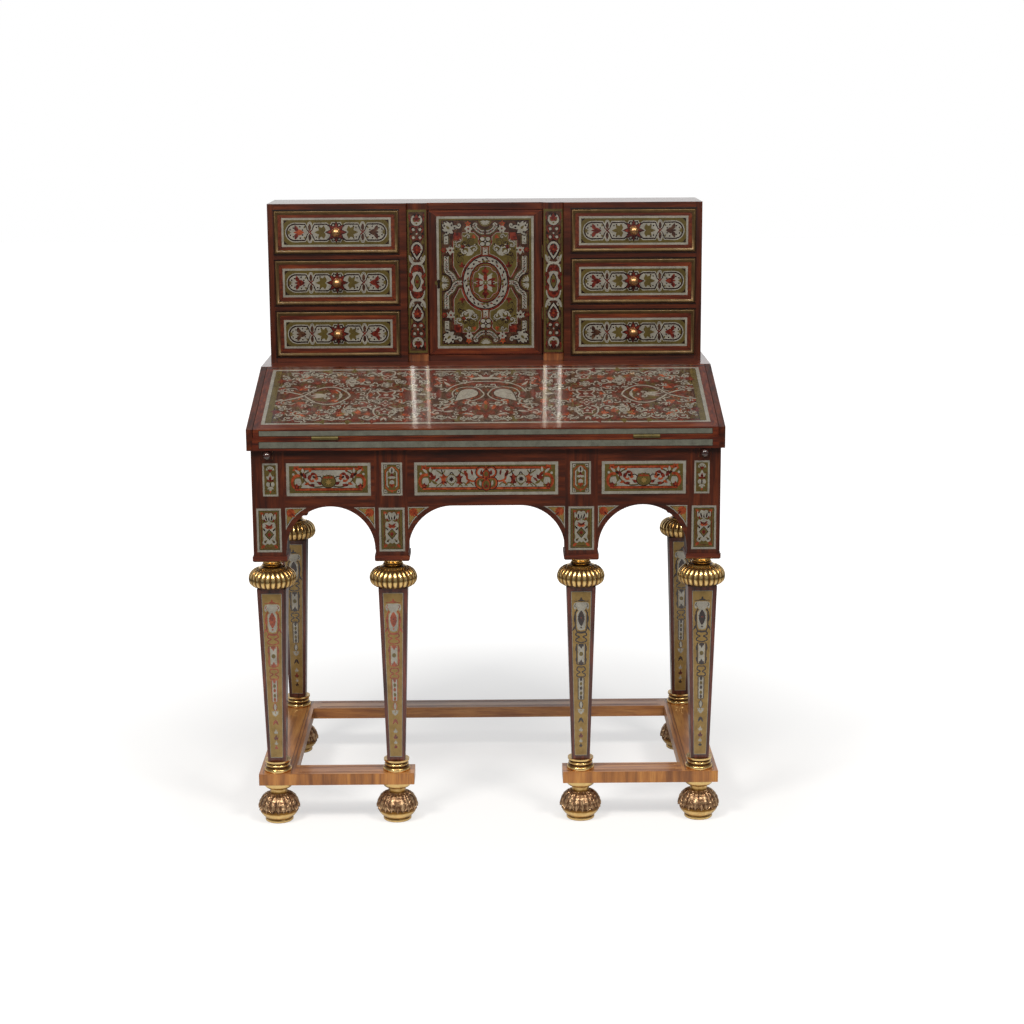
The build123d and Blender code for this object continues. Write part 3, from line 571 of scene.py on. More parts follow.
class FieldIndex:
    """Finds the uppermost field of a drawing at a point, through a coarse grid of squares."""

    SQUARE = 6.0  # millimetres

    def __init__(self, drawing: Drawing) -> None:
        """Sort the fields into the squares they touch, uppermost first."""
        self.squares: dict[tuple[int, int], list[tuple[Path, Inlay]]] = {}
        for path, inlay in reversed(drawing.fields):
            xs, ys = [p[0] for p in path], [p[1] for p in path]
            for i in range(math.floor(min(xs) / self.SQUARE), math.floor(max(xs) / self.SQUARE) + 1):
                for j in range(math.floor(min(ys) / self.SQUARE), math.floor(max(ys) / self.SQUARE) + 1):
                    self.squares.setdefault((i, j), []).append((path, inlay))

    def top(self, x: float, y: float) -> Inlay | None:
        """The inlay on top at a point, or nothing outside every field."""
        for path, inlay in self.squares.get((math.floor(x / self.SQUARE), math.floor(y / self.SQUARE)), ()):
            turns = 0
            for (ax, ay), (bx, by) in zip(path, [*path[1:], path[0]]):
                if (ay <= y) != (by <= y) and (x < ax + (y - ay) * (bx - ax) / (by - ay)):
                    turns += 1 if by > ay else -1
            if turns:
                return inlay
        return None


class Marquetry:
    """Cuts drawings as thin closed plates, let into the veneer, that make one object."""

    SUNK = 0.15

    def __init__(self, proud: float = 0.3) -> None:
        """Start with nothing cut.

        Args:
            proud: how far the plates stand above the veneer, too little to see but enough to keep the surfaces apart.
        """
        self.proud = proud
        self.points: list[Vector] = []
        self.faces: list[Sequence[int]] = []
        self.kinds: list[int] = []

    def lay(self, drawing: Drawing, at: Callable[[float, float, float], Vector], folds: Sequence[float] = ()) -> None:
        """Cut a drawing and lay it on a face.

        Args:
            drawing: what to cut.
            at: gives the place of a point of the drawing at a height in millimetres.
            folds: places along X where the plate is divided, so that it can follow a bowed face.
        """
        outline: list[Vector] = []
        lines = []
        for path, _ in drawing.fields:
            first = len(outline)
            lines += [(first + i, first + (i + 1) % len(path)) for i in range(len(path))]
            outline += [Vector(p) for p in path]
        reach = max(abs(p.y) for p in outline) + 1
        for x in folds:
            lines.append((len(outline), len(outline) + 1))
            outline += [Vector((x, -reach)), Vector((x, reach))]
        places, _, cells, *_ = delaunay_2d_cdt(outline, lines, [], 0, 1e-4, False)
        first = len(self.points)
        self.points += [at(p.x, p.y, self.proud) for p in places] + [at(p.x, p.y, -self.SUNK) for p in places]
        under = first + len(places)
        sides: dict[tuple[int, int], int] = {}
        backs = []
        index = FieldIndex(drawing)
        for cell in cells:
            a, b, c = (places[i] for i in cell)
            inlay = index.top((a.x + b.x + c.x) / 3, (a.y + b.y + c.y) / 3)
            if inlay is None:
                continue
            kind = inlay.value
            self.faces.append([first + i for i in cell])
            self.kinds.append(kind)
            backs.append([under + i for i in reversed(cell)])
            sides.update({(i, j): kind for i, j in zip(cell, [*cell[1:], cell[0]])})
        rim = [(i, j) for i, j in sides if (j, i) not in sides]
        self.faces += [[first + j, first + i, under + i, under + j] for i, j in rim]
        self.kinds += [sides[edge] for edge in rim]
        # a flat plate with one plain outline needs no more than one face on its hidden back
        after, loop = dict(rim), [rim[0][0]]
        while len(loop) <= len(rim) and after[loop[-1]] != loop[0]:
            loop.append(after[loop[-1]])
        if len(loop) == len(rim) and not folds:
            backs = [[under + i for i in reversed(loop)]]
        self.faces += backs
        self.kinds += [self.kinds[-1]] * len(backs)

    def piece(self, name: str, body: str, finishes: Finishes) -> Object:
        """Make the object of everything cut so far, riding on a body."""
        mesh = bpy.data.meshes.new(name)
        mesh.from_pydata(self.points, [], self.faces)
        used = sorted(set(self.kinds))
        for kind in used:
            mesh.materials.append(finishes.inlays[kind])
        mesh.polygons.foreach_set("material_index", [used.index(kind) for kind in self.kinds])
        return settle(name, mesh, body, 40.0)


def settle(name: str, mesh: Mesh, body: str, sharp: float = 35.0, replaced: str | None = None) -> Object:
    """Clean a mesh, shade it, and make it a piece that rides on a body.

    Args:
        name: the piece's name.
        mesh: its mesh, in place.
        body: the body it rides on.
        sharp: the angle in degrees past which an edge stays crisp.
        replaced: the node that it stands for, where there is one.

    Returns:
        The piece.
    """
    work = bmesh.new()
    work.from_mesh(mesh)
    bmesh.ops.delete(work, geom=[v for v in work.verts if not v.link_faces], context="VERTS")
    work.to_mesh(mesh)
    work.free()
    mesh.validate()
    mesh.shade_smooth()
    mesh.set_sharp_from_angle(angle=math.radians(sharp))
    piece = bpy.data.objects.new(name, mesh)
    bpy.context.scene.collection.objects.link(piece)
    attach(piece, body)
    if replaced:
        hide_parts(replaced)
    LOG.info("%s: %d faces on %s", name, len(mesh.polygons), body)
    return piece


def dress(material: Material, *nodes: str) -> None:
    """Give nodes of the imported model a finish."""
    for node in nodes:
        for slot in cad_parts[node].material_slots:
            slot.material = material


# ------------------
# Designs
# ------------------
E, P, B, R, V, N, G = Inlay.EBONY, Inlay.PEWTER, Inlay.BRASS, Inlay.RED, Inlay.VERMILION, Inlay.BROWN, Inlay.GOLD


def mitred(drawing: Drawing, inner: Point, outer: Point, ends: Inlay, sides: Inlay) -> None:
    """Add a mitred wooden border between two rectangles given by their half sizes."""
    border = Drawing()
    border.area([(inner[0], 0), (outer[0], 0), outer, inner], ends)
    border.area([(0, inner[1]), inner, outer, (0, outer[1])], sides)
    border.band([inner, outer], 0.6, E)
    drawing.mirrored(border, upright=True)


def drawer_design(left: Inlay, right: Inlay, half_y: float) -> Drawing:
    """Strapwork cartouche with a star behind the knob, for the front of a gradin drawer.

    Args:
        left: what the flower at the left end is cut from.
        right: what the flower at the right end is cut from.
        half_y: half the height between the mouldings.

    Returns:
        The drawing, 216 by 58 mm.
    """
    d = Drawing()
    mitred(d, (107.4, 28.3), (114.7, half_y), Inlay.ROSEWOOD_DEEP, Inlay.ROSEWOOD)
    d.rectangle(107.4, 28.3, P)
    d.rectangle(103.4, 24.2, B)
    corner = Drawing()
    corner.area([(102.6, 23.4), (94.5, 23.4), (99.5, 20.5), (102.6, 15.5)], E)
    d.mirrored(corner, upright=True)
    end = [(52, 0), (56.5, 5), (61.5, 15.6), (80.5, 16)] + arc((81, 0), (16, 16), 80, 0, 8)
    middle = [(52, 0), (47.5, 5), (42.5, 15.6), (19, 15.8), (13.5, 11.5), (9.5, 12.5), (7.2, 17.2), (3.5, 16.5)]
    middle.append((0, 13))
    fill = Drawing()
    fill.area([*end, (52, 0)], P)
    fill.area([*middle, (0, 0)], P)
    d.mirrored(fill, upright=True)
    for width, inlay in ((6.6, P), (2.7, E)):
        lines = Drawing()
        lines.band(end, width, inlay)
        lines.band(middle, width, inlay)
        lines.oval((52, 10.5), (3.1 + width / 2.4, 8 + width / 2.4), inlay)
        d.mirrored(lines, upright=True)
    loop = Drawing()
    loop.almond((52, 9.8), 5.2, 9.6, P)
    loop.almond((52, 9.8), 3.0, 7.2, N)
    loop.band([(48.5, 4.5), (55.5, -4.5)], 2.0, R)
    loop.spray((24, 0), 0, 19, B, 5, 75, 0.45)
    loop.dots([(39, 9.5), (84, 8.5), (80.5, 11.2), (71, 11), (90, 5.5), (34, 11.5), (66, 5)], 1.6, E)
    loop.spray((60.5, 9.5), 20, 6, B, 2, 25)
    loop.spray((96, 0), 180, 8.5, B, 5, 60, 0.3)
    d.mirrored(loop, upright=True)
    for side, inlay in ((-1, left), (1, right)):
        flower = Drawing()
        bud = N if inlay is N else R
        flower.leaves((80, 0, 180, 17, 12, inlay), (76, 2, 60, 13, 8, bud, 25), (76, -2, -60, 13, 8, bud, -25))
        flower.leaf((77, 0), 0, 7, 4, inlay)
        d.laid(flower, lambda p, side=side: (p[0] * side, p[1]))
    d.star((0, 0), 22.5, 12.5, 8, E)
    d.star((0, 0), 19.5, 11.0, 8, R)
    return d


def pilaster_design() -> Drawing:
    """Column of shields, almonds and scrolls for a bowed pilaster, 38 by 282 mm, the same upwards and downwards."""
    d = Drawing()
    d.rectangle(19.4, 141.2, B)
    d.rectangle(15.6, 136.5, N)
    side = Drawing()
    side.band(curve((0, 30), (7, 27), (11, 18), (10, 10), (14, 0)), 3.0, R)
    side.band(curve((14.5, 52), (12.5, 42), (6, 36), (0, 36)), 5.0, P)
    side.band(curve((3, 37), (9, 33), (13, 26), (14, 18)), 4.2, P, 0.5)
    side.scroll((10.5, 46), 4.6, 250, -0.8, P, None, 0, 0.5)
    side.leaf((13, 8), 60, 10, 5, R, 40)
    side.leaf((12.5, 34), -60, 12, 4, B, -20)
    side.band(curve((0, 108), (8, 109), (13, 105), (10, 97), (12, 89), (8, 83), (0, 83)), 2.4, R)
    side.dots([(6.5, 102.5), (6.5, 86.5)], 2.9, P)
    side.dots([(11.5, 94), (13.5, 80)], 2.2, E)
    side.leaf((12.5, 72), 100, 14, 5, B, -30)
    side.leaf((13, 118), 80, 18, 4, R, 10)
    side.leaf((13.5, 58), -100, 12, 4, B, -10)
    d.mirrored(side, upright=True)
    d.band([(0, 83), (0, 108)], 3.0, R)
    d.band([(0, -83), (0, -108)], 3.0, R)
    half = Drawing()
    half.almond((0, 62), 12.6, 20.5, E)
    half.area(arc((0, 65), (11.4, 13.0), -15, 195, 12) + [(-5, 50), (0, 43), (5, 50)], P)
    half.area(arc((0, 65), (7.4, 9.0), -15, 195, 12) + [(-4, 54), (0, 49), (4, 54)], E)
    half.flower((0, 63), 10.0, 8, R, V, 90, 0.6)
    half.area(arc((0, 121), (12.4, 12.6), 0, 360, 16)[:-1], E)
    half.area(arc((0, 121), (11.2, 11.4), 125, 415, 14) + [(0, 121)], P)
    half.spray((0, 118), 90, 15, R, 3, 38, 0.62)
    half.dots([(5.6, 120), (-5.6, 120), (0, 114.5)], 1.9, B)
    half.dots([(0, 94)], 2.0, P)
    half.spray((0, 22), 90, 13, R, 5, 70, 0.5)
    d.mirrored(half, across=False, upright=True)
    for sign in (1, -1):
        d.area([(sign * x, y) for x, y in curve((0, 20), (9, 17), (8, 9), (12.5, 0), (8, -9), (9, -17), (0, -20))], P)
    d.almond((0, 0), 6.6, 15.5, E)
    d.almond((0, 0), 5.0, 13.0, B)
    d.flower((0, 0), 4.6, 4, R, V, 45, 0.8)
    return d


def ribbon(d: Drawing, path: Sequence[Point], width: float, line: Inlay = E) -> None:
    """Lay a pewter strap with fine edges and a row of curls and dots down its middle."""
    d.strap(path, width, P, (B, line), 1.1)
    for i, (a, b) in enumerate(zip(path, path[1:])):
        x, y = (a[0] + b[0]) / 2, (a[1] + b[1]) / 2
        heading = math.degrees(math.atan2(b[1] - a[1], b[0] - a[0]))
        if i % 2:
            d.dots([(x, y)], width * 0.16, E)
        else:
            for turn in (60, 240):
                d.leaf((x, y), heading + turn, width * 0.42, width * 0.2, (E, R)[i % 4 // 2], 90)


def door_design() -> Drawing:
    """Strapwork round an oval, with leafy fields at the corners, for the cupboard door, 191 by 261 mm."""
    d = Drawing()
    mitred(d, (95.8, 130.4), (111.5, 141.4), Inlay.KINGWOOD_UPRIGHT, Inlay.ROSEWOOD)
    d.rectangle(95.8, 130.4, P)
    d.rectangle(91.2, 125.8, B)
    quarter = Drawing()
    quarter.area([(0, 0), (86.6, 0), (86.6, 122.6), (0, 122.6)], E)
    quarter.area([(0, 0), (85.4, 0), (85.4, 121.4), (0, 121.4)], N)
    room = [(9, 58), (9, 70), (14, 76), (14, 90), (22, 98), (45, 98), (45, 82), (62, 82), (62, 33), (57, 24), (50, 11)]
    room += arc((0, 0), (49.5, 57.5), 12, 79, 8)
    quarter.band(room, 6.0, R, closed=True)
    quarter.band(room, 2.0, P, closed=True)
    quarter.area(room, B)
    quarter.rectangle(7.0, 7.0, R, (55.5, 91.5))
    # leaves that fill the field between the oval and the outer straps
    for x, y, radius, start, turns, inlay in (
        (40, 62, 12, 200, -1.1, P), (27, 80, 9, 300, 1.0, B), (52, 74, 8, 120, -1.0, P), (22, 66, 8, 20, 1.0, P),
        (48, 46, 9, 60, -1.0, B), (34, 90, 6, 0, 1.0, P), (50, 58, 6, 200, 1.0, E), (40, 78, 7, 200, 1.0, E),
    ):
        quarter.scroll((x, y), radius, start, turns, inlay, E if inlay is not E else None, 4, 0.3)
    quarter.spray((46, 30), 90, 12, R, 3, 45)
    quarter.spray((30, 54), 75, 13, P, 5, 60, 0.3)
    quarter.spray((42, 68), 45, 9, R, 3, 40)
    quarter.spray((20, 92), -30, 9, V, 3, 40)
    quarter.dots([(57, 66), (30, 72), (53, 40), (18, 76)], 1.7, E)
    # outer straps
    ribbon(quarter, curve((52, 0), (60, 3), (66, 14), (76, 23), (77, 36), (77, 52)), 9.0)
    ribbon(quarter, [(77, 76), (77, 82), (77, 89), (77, 96)], 8.5)
    quarter.flower((69, 64), 9.5, 6, P, R, 30, 0.7)
    quarter.dots([(69, 71), (74, 60), (63, 64)], 1.5, E)
    quarter.flower((82, 64), 6.5, 6, R, B, 0, 0.6)
    quarter.band(arc((84, 0), (17.5, 17.5), 90, 180, 8), 2.6, E)
    quarter.area([(86, 0), *arc((86, 0), (15.5, 15.5), 90, 180, 8)], B)
    for angle in (100, 125, 150, 172):
        quarter.leaf((85, 1.5), angle, 13, 4.2, P)
        quarter.leaf((85, 1.5), angle + 11, 10, 1.6, E)
    # corner acanthus
    reaches = ((20, 17, 40), (52, 17, 0), (88, 16, -40), (125, 15, -30), (160, 22, 25), (-22, 14, 40), (-70, 15, 30))
    for longer, width, inlay in ((3, 10.5, E), (0, 8.4, P)):
        for angle, reach, bend in (*reaches, (-118, 12, -40)):
            quarter.leaf((71, 106), angle, reach + longer, width, inlay, bend)
    quarter.scroll((52, 113), 6.0, 320, -0.9, P, E, 1, 0.5)
    quarter.dots([(80, 112), (66, 113), (76, 99), (60, 108)], 2.1, E)
    quarter.leaf((70, 105), 45, 10, 5, B)
    # top strap and its knots
    quarter.flower((33, 106), 8.5, 6, P, R, 0, 0.75)
    quarter.flower((34, 115.5), 6.5, 5, V, B, 18, 0.6)
    quarter.dots([(27, 110), (39, 110), (33, 99)], 1.5, E)
    ribbon(quarter, curve((2, 99), (9, 100), (16, 105), (22, 113)), 7.5)
    quarter.scroll((18.5, 113.5), 5.0, 0, 0.8, P, E, 0, 0.5)
    quarter.area([(0, 122), (0, 109), *arc((0, 122), (13, 12), -90, 0, 6)], B)
    for angle in (-90, -62, -34, -10):
        quarter.leaf((0, 121), angle, 10.5, 3.6, P)
    ribbon(quarter, [(0, 50), (0, 56), (0, 63), (0, 70)], 9.5, R)
    d.mirrored(quarter, upright=True)
    for sign in (1, -1):
        d.oval((0, sign * 81), (14, 12.5), R)
        d.oval((0, sign * 81), (11.5, 10.5), B)
        for x, y in ((5.5, 86), (5.5, 76), (-5.5, 86), (-5.5, 76)):
            d.oval((x, sign * y), (5.6, 4.8), E, 12)
            d.oval((x, sign * y), (4.6, 3.8), P, 12)
        d.flower((0, sign * 81), 6.5, 4, E, P, 0, 0.4)
        ribbon(d, [(sign * 42, 0), (sign * 46, 0), (sign * 50, 0), (sign * 54, 0)], 8.0)
    rims = [((46.8, 54.8), R), ((44.8, 52.6), E), ((43.2, 51.0), P), ((32.2, 40.6), E), ((30.8, 39.0), R)]
    for radii, inlay in (*rims, ((29.0, 37.2), B)):
        d.oval((0, 0), radii, inlay, 40)
    for i in range(24):
        angle = 15 * i + 7.5
        x, y = arc((0, 0), (37.6, 45.8), angle, angle, 1)[0]
        if i % 2:
            d.leaf((x, y), angle + 30, 8.0, 3.2, E, 100)
            d.leaf((x, y), angle + 210, 8.0, 3.2, R, 100)
        else:
            d.dots([(x, y)], 2.2, E)
    for angle in (0, 90, 180, 270):
        for turn in (90, -90):
            d.leaf(arc((0, 0), (34, 42), angle, angle, 1)[0], angle + turn, 7, 4.5, B, 0)
    inner = Drawing()
    inner.band(curve((0, 33), (10, 31), (15, 24), (22, 20), (25, 10), (25, 0)), 3.4, R)
    inner.band(curve((0, 32.5), (9.8, 30.5), (14.6, 23.5), (21.5, 19.5), (24.5, 10), (24.5, 0)), 1.0, P)
    inner.leaves((2, 2, 52, 21, 10, P, 8), (2, 0, 22, 22, 8, R, 10), (12, 13, 20, 9, 5, B, 10))
    d.mirrored(inner, upright=True)
    for angle, inlay in ((0, P), (180, P), (90, R), (270, R)):
        d.leaf((0, 0), angle, 24, 8, inlay)
    for sign in (1, -1):
        d.spray((0, sign * 19), sign * 90, 13, R, 3, 45, 0.55)
        d.spray((sign * 12, 0), 90 - sign * 90, 8, R, 3, 60, 0.5)
    d.flower((0, 0), 6.0, 8, B, P, 22.5, 0.5)
    return d


def fall_foliage() -> Drawing:
    """Small leaves and curls under rows of leafy scrolls and sprays, for the upper right quarter of the fall."""
    d = Drawing()
    # a ground that lets little of the shell show between the larger work
    for i in range(30):
        d.spray((10 + 13 * i, 16 + 31 * (i % 4)), 50 + 97 * i, 19, (R, B)[i % 5 // 3], 3, 62, 0.55)
    for i in range(19):
        for j in range(6):
            x, y, angle = 12 + 20.5 * i + 10 * (j % 2), 9 + 19 * j, (i * 67 + j * 101) % 360
            kind = (P, P, P, V, P, R, P, B)[(3 * i + 5 * j) % 8]
            if (i + 2 * j) % 3 == 0:
                d.spray((x, y), angle, 18, (R, V, R)[i % 3], 3, 50, 0.55)
            else:
                d.scroll((x, y), 11.0, angle, 1.0 - 2.0 * (j % 2), kind, E, 2, 0.25)
    # rows of leafy scrolls along the top and the foot: middle, radius, start, turns, inlay
    for x, y, radius, start, turns, inlay in (
        (34, 96, 11, 180, -1.2, P), (60, 97, 9, 0, 1.1, P), (84, 96, 11, 180, -1.2, P), (108, 92, 10, 0, 1.2, R),
        (134, 97, 11, 160, -1.2, P), (160, 96, 9, 20, 1.1, P), (222, 96, 11, 160, -1.2, P), (244, 88, 8, 0, 1.0, R),
        (268, 98, 10, 180, -1.2, P), (294, 97, 10, 0, 1.2, P), (320, 98, 11, 180, -1.2, P), (344, 98, 9, 0, 1.2, P),
        (368, 99, 11, 200, -1.2, P), (388, 84, 9, 60, 1.2, P), (384, 58, 9, 300, -1.1, P), (366, 66, 8, 100, 1.0, R),
        (340, 70, 10, 20, 1.1, P), (312, 74, 9, 200, -1.1, V), (288, 70, 9, 0, 1.1, P), (258, 66, 12, 90, -1.3, P),
        (228, 62, 12, 180, 1.3, P), (160, 66, 10, 40, -1.2, P), (138, 62, 9, 200, 1.1, R), (114, 64, 9, 0, -1.1, P),
        (234, 34, 9, 180, 1.1, P), (214, 24, 8, 60, -1.1, P), (166, 24, 8, 120, 1.1, P), (146, 36, 9, 0, -1.1, P),
        (252, 24, 8, 300, 1.1, R), (128, 24, 8, 0, 1.1, P), (380, 30, 9, 250, 1.0, P), (268, 44, 7, 100, 1.0, R),
    ):
        d.scroll((x, y), radius * 1.15, start, turns, inlay, E, 2, 0.24)
    # trefoils between them: base, angle, size, inlay
    for x, y, angle, size, inlay in (
        (46, 84, -70, 14, R), (72, 84, -90, 13, R), (96, 80, -60, 14, R), (122, 78, 200, 12, R), (148, 82, -90, 13, R),
        (206, 82, 60, 13, R), (236, 76, -20, 14, V), (280, 84, -90, 13, R), (304, 86, -70, 12, R),
        (330, 84, -90, 14, R), (356, 82, -50, 16, V), (376, 74, 30, 10, R), (392, 70, 90, 10, R), (350, 54, 200, 12, R),
        (326, 56, 150, 12, R), (270, 78, 120, 10, B), (298, 54, 90, 12, R), (246, 48, 240, 12, R),
        (212, 44, -60, 12, R), (172, 44, 240, 12, R), (150, 50, 100, 10, V), (126, 44, -60, 12, R),
        (108, 40, 40, 12, R), (158, 10, 20, 12, R), (222, 10, 160, 12, R), (240, 8, 0, 14, R), (262, 12, 200, 12, R),
        (392, 40, 250, 10, R), (374, 12, 200, 12, R), (390, 14, 120, 9, P), (116, 104, 90, 9, R), (200, 104, 60, 9, R),
        (252, 104, 90, 9, R), (306, 106, 60, 8, R), (356, 108, 30, 9, R),
    ):
        d.spray((x, y), angle, size, inlay, 3, 42, 0.5)
    d.dots([(28, 74), (100, 100), (178, 96), (202, 96), (310, 92), (354, 92), (282, 60), (340, 42), (196, 60)], 2.4, P)
    return d


def fall_flowers(side: Drawing, x: float) -> None:
    """Add the column of flowers at the quarter of the fall."""
    for y, radius, petals, inlay in ((4, 21, 4, R), (50, 10, 6, E), (-34, 12, 4, R), (-72, 14, 5, R), (84, 11, 5, R)):
        turn = 45 if petals == 4 and radius > 15 else 90
        side.flower((x, y), radius + 3, petals, P, P, turn, 0.72)
        side.flower((x, y), radius, petals, inlay, P, turn, 0.62)
    side.star((x, 50), 8.5, 4, 4, P)
    for sign in (1, -1):
        for stem, width, taper in (
            (((0, 118), (12, 114), (13, 100), (4, 92)), 4.0, 0.5),
            (((8, -50), (20, -62), (18, -84), (8, -96)), 4.0, 0.4),
            (((6, 28), (17, 22), (16, 12)), 3.4, 0.4),
            (((6, -20), (17, -14), (16, -4)), 3.4, 0.4),
        ):
            side.band(curve(*((x + sign * across, up) for across, up in stem)), width, P, taper)
        side.leaf((x, -98), -90 + sign * 30, 16, 5, P, -sign * 30)
        side.spray((x + sign * 26, 4), 90 - sign * 90, 13, V, 3, 50)


def fall_lozenge(side: Drawing) -> None:
    """Add the rounded lozenge, whose strap crosses itself before the end of the fall."""
    for sign in (1, -1):
        for stem, width, inlay, taper in (
            (((398, 24), (376, 18), (348, 2), (330, -22), (308, -38), (284, -36), (264, -14), (258, 4)), 3.6, P, None),
            (((322, 26), (304, 32), (292, 14), (296, 0)), 7.0, R, 0.5),
            (((286, 26), (278, 14), (277, 0)), 3.0, P, 0.3),
        ):
            path = [(x, sign * y + 2) for x, y in curve(*stem)]
            if taper is None:
                side.strap(path, width, inlay, (N,), 1.6)
            else:
                side.band(path, width, inlay, taper)
        side.leaf((302, 2), sign * 24, 30, 8, P, -sign * 20)
        side.scroll((256, sign * 68), 15, 200 * sign, sign * 1.2, P, E, 5, 0.34)
        side.scroll((352, sign * 76), 13, 120 * sign, -sign * 1.1, P, E, 4, 0.3)
        side.leaf((236, sign * 82), -sign * 80, 22, 9, V, sign * 20)
    side.leaf((300, 2), 0, 36, 9, P)
    side.almond((276, 2), 3.2, 12, P)
    side.spray((362, 2), 0, 22, R, 3, 30, 0.34)


def fall_pear(side: Drawing) -> None:
    """Add the right one of the two pears, with its strap and the leaves round it."""
    side.band(curve((0, 64), (24, 63), (48, 54), (66, 38), (76, 16)), 3.2, P)
    side.band(curve((0, 56), (22, 55), (42, 48)), 8.0, R, 0.4)
    side.scroll((88, 78), 10, 200, 1.1, P, None, 3, 0.24)
    side.scroll((92, -78), 12, 150, -1.1, P, None, 3, 0.28)
    hoop = [(40, -31), (24, -25), (11, -13), (4, 2), (7, 16), (16, 32), (34, 38), (54, 31), (64, 12), (62, -8)]
    side.strap(curve(*hoop, (72, -20)), 2.6, P, (N,), 1.4)
    side.scroll((76, -32), 15, 130, 1.2, P, N, 4, 0.26)
    side.scroll((24, -36), 13, 70, -1.2, P, N, 4, 0.26)
    for grow, inlay in ((2.2, E), (0.0, P)):
        pear = arc((33, 9), (18.0 + grow, 19.5 + grow), 5, 235, 16)
        tip = [(34, -14 - grow), (47, -20 - grow), (58 + grow, -26 - grow), (56 + grow, -12), (53.5 + grow, 2)]
        side.area([*pear, *tip], inlay)
    for row in (
        (68, 44, 52, 26, 6, P), (68, -46, -52, 26, 6, P), (84, 6, 20, 30, 10, R), (84, 6, -20, 30, 10, R),
        (86, 8, 70, 22, 9, R), (86, 2, -70, 22, 9, R), (112, 5, 0, 20, 7, P), (30, -54, -90, 22, 8, R),
        (18, -44, -110, 26, 8, V), (46, -50, -70, 20, 8, R), (58, 66, 20, 24, 7, R), (84, 56, -20, 22, 7, V),
        (10, 82, 60, 20, 7, R), (12, 76, 10, 24, 6, P), (60, -70, -20, 22, 7, P), (88, -62, 20, 22, 8, R),
        (40, -80, 200, 22, 7, P), (10, -66, -80, 26, 9, R), (4, -92, -60, 18, 7, P), (26, -96, 10, 18, 7, R),
    ):
        side.leaves((*row, 18))
    side.flower((100, 5), 8, 4, P, R, 45)


def fall_design() -> Drawing:
    """Dense foliage round a pair of pears, for the show face of the fall, 832 by 250 mm."""
    d = Drawing()
    d.rectangle(415.5, 126.0, P)
    d.rectangle(409.0, 120.5, E)
    d.rectangle(407.5, 119.0, N)
    side = Drawing()
    side.band([(402.5, 118), (402.5, -118)], 12.0, B)
    side.band([(396.5, 118), (396.5, -118)], 1.6, E)
    # straps that frame the top and the foot
    for low, high in ((50, 104), (212, 316)):
        side.band([(low, 112), (high, 112)], 2.4, P)
        side.band([(low, -111), (high, -111)], 2.6, R)
    side.band([(12, 116), (390, 116)], 1.6, R)
    side.band([(12, -116), (396, -116)], 2.0, R)
    side.mirrored(fall_foliage(), across=False, upright=True)
    fall_flowers(side, 190)
    fall_lozenge(side)
    fall_pear(side)
    d.mirrored(side)
    # what stands on the middle line
    d.almond((0, -48), 7, 26, R)
    d.almond((0, -50), 3.4, 16, B)
    d.spray((0, -80), 270, 26, R, 3, 60, 0.42)
    d.spray((0, 76), 90, 34, P, 5, 65, 0.26)
    d.spray((0, 84), 90, 20, R, 3, 35, 0.36)
    d.area([(0, -22), (5, -36), (0, -44), (-5, -36)], V)
    framed = Drawing()
    mitred(framed, (415.5, 131.5), (428.2, 141.5), Inlay.ROSEWOOD_DEEP, Inlay.ROSEWOOD)
    # painted shadow: a dark line along the top edge, where the gap under the ledge is in shade
    framed.band([(-428, 139.6), (428, 139.6)], 3.8, E)
    framed.rectangle(415.5, 6.0, Inlay.ROSEWOOD, (0, -126))
    framed.laid(d, lambda p: (p[0], p[1] + 5.5))
    return framed


def frieze_ground(half_x: float, half_y: float, field_x: float) -> Drawing:
    """Border, brass field, vermilion strips and pewter ground that the frieze panels share."""
    d = Drawing()
    d.rectangle(half_x, half_y, P)
    d.rectangle(half_x - 5.4, half_y - 5.4, B)
    d.rectangle(field_x + 2.4, 18.4, E, (0, 0.5))
    d.rectangle(field_x, 17.4, P, (0, 0.5))
    for y in (20.3, -18.6):
        d.rectangle(field_x + 6, 2.8, E, (0, y))
        d.rectangle(field_x + 6, 2.0, V, (0, y))
    return d


def frieze_corner(x: float) -> Drawing:
    """Vermilion scroll and flowers at the right end of a frieze panel whose pewter ground ends at x."""
    d = Drawing()
    d.area([(x - 14, 18), (x - 7, 5), (x - 12, -2), (x - 5, -16), (x + 8, -16), (x + 8, 18)], B)
    d.band(curve((x - 4, 8), (x + 6, 6), (x + 11, -3), (x + 9, -13), (x + 1, -18)), 5.4, V, 0.2)
    d.area(curve((x - 4, 2), (x + 5, 1), (x + 6, -8), (x - 2, -12), (x - 6, -6)), P)
    d.flower((x + 3, -13.5), 6.5, 5, R, V, 20, 0.7)
    d.flower((x + 3, 20), 7.5, 5, V, R, 50, 0.7)
    d.leaves((x - 3, 10, 55, 13, 5, P, -30), (x - 9, 12, 80, 10, 5, P, 30), (x - 12, 4, 60, 12, 5, R, -20))
    d.dots([(x + 9, 10), (x - 8, -10)], 2.4, P)
    return d


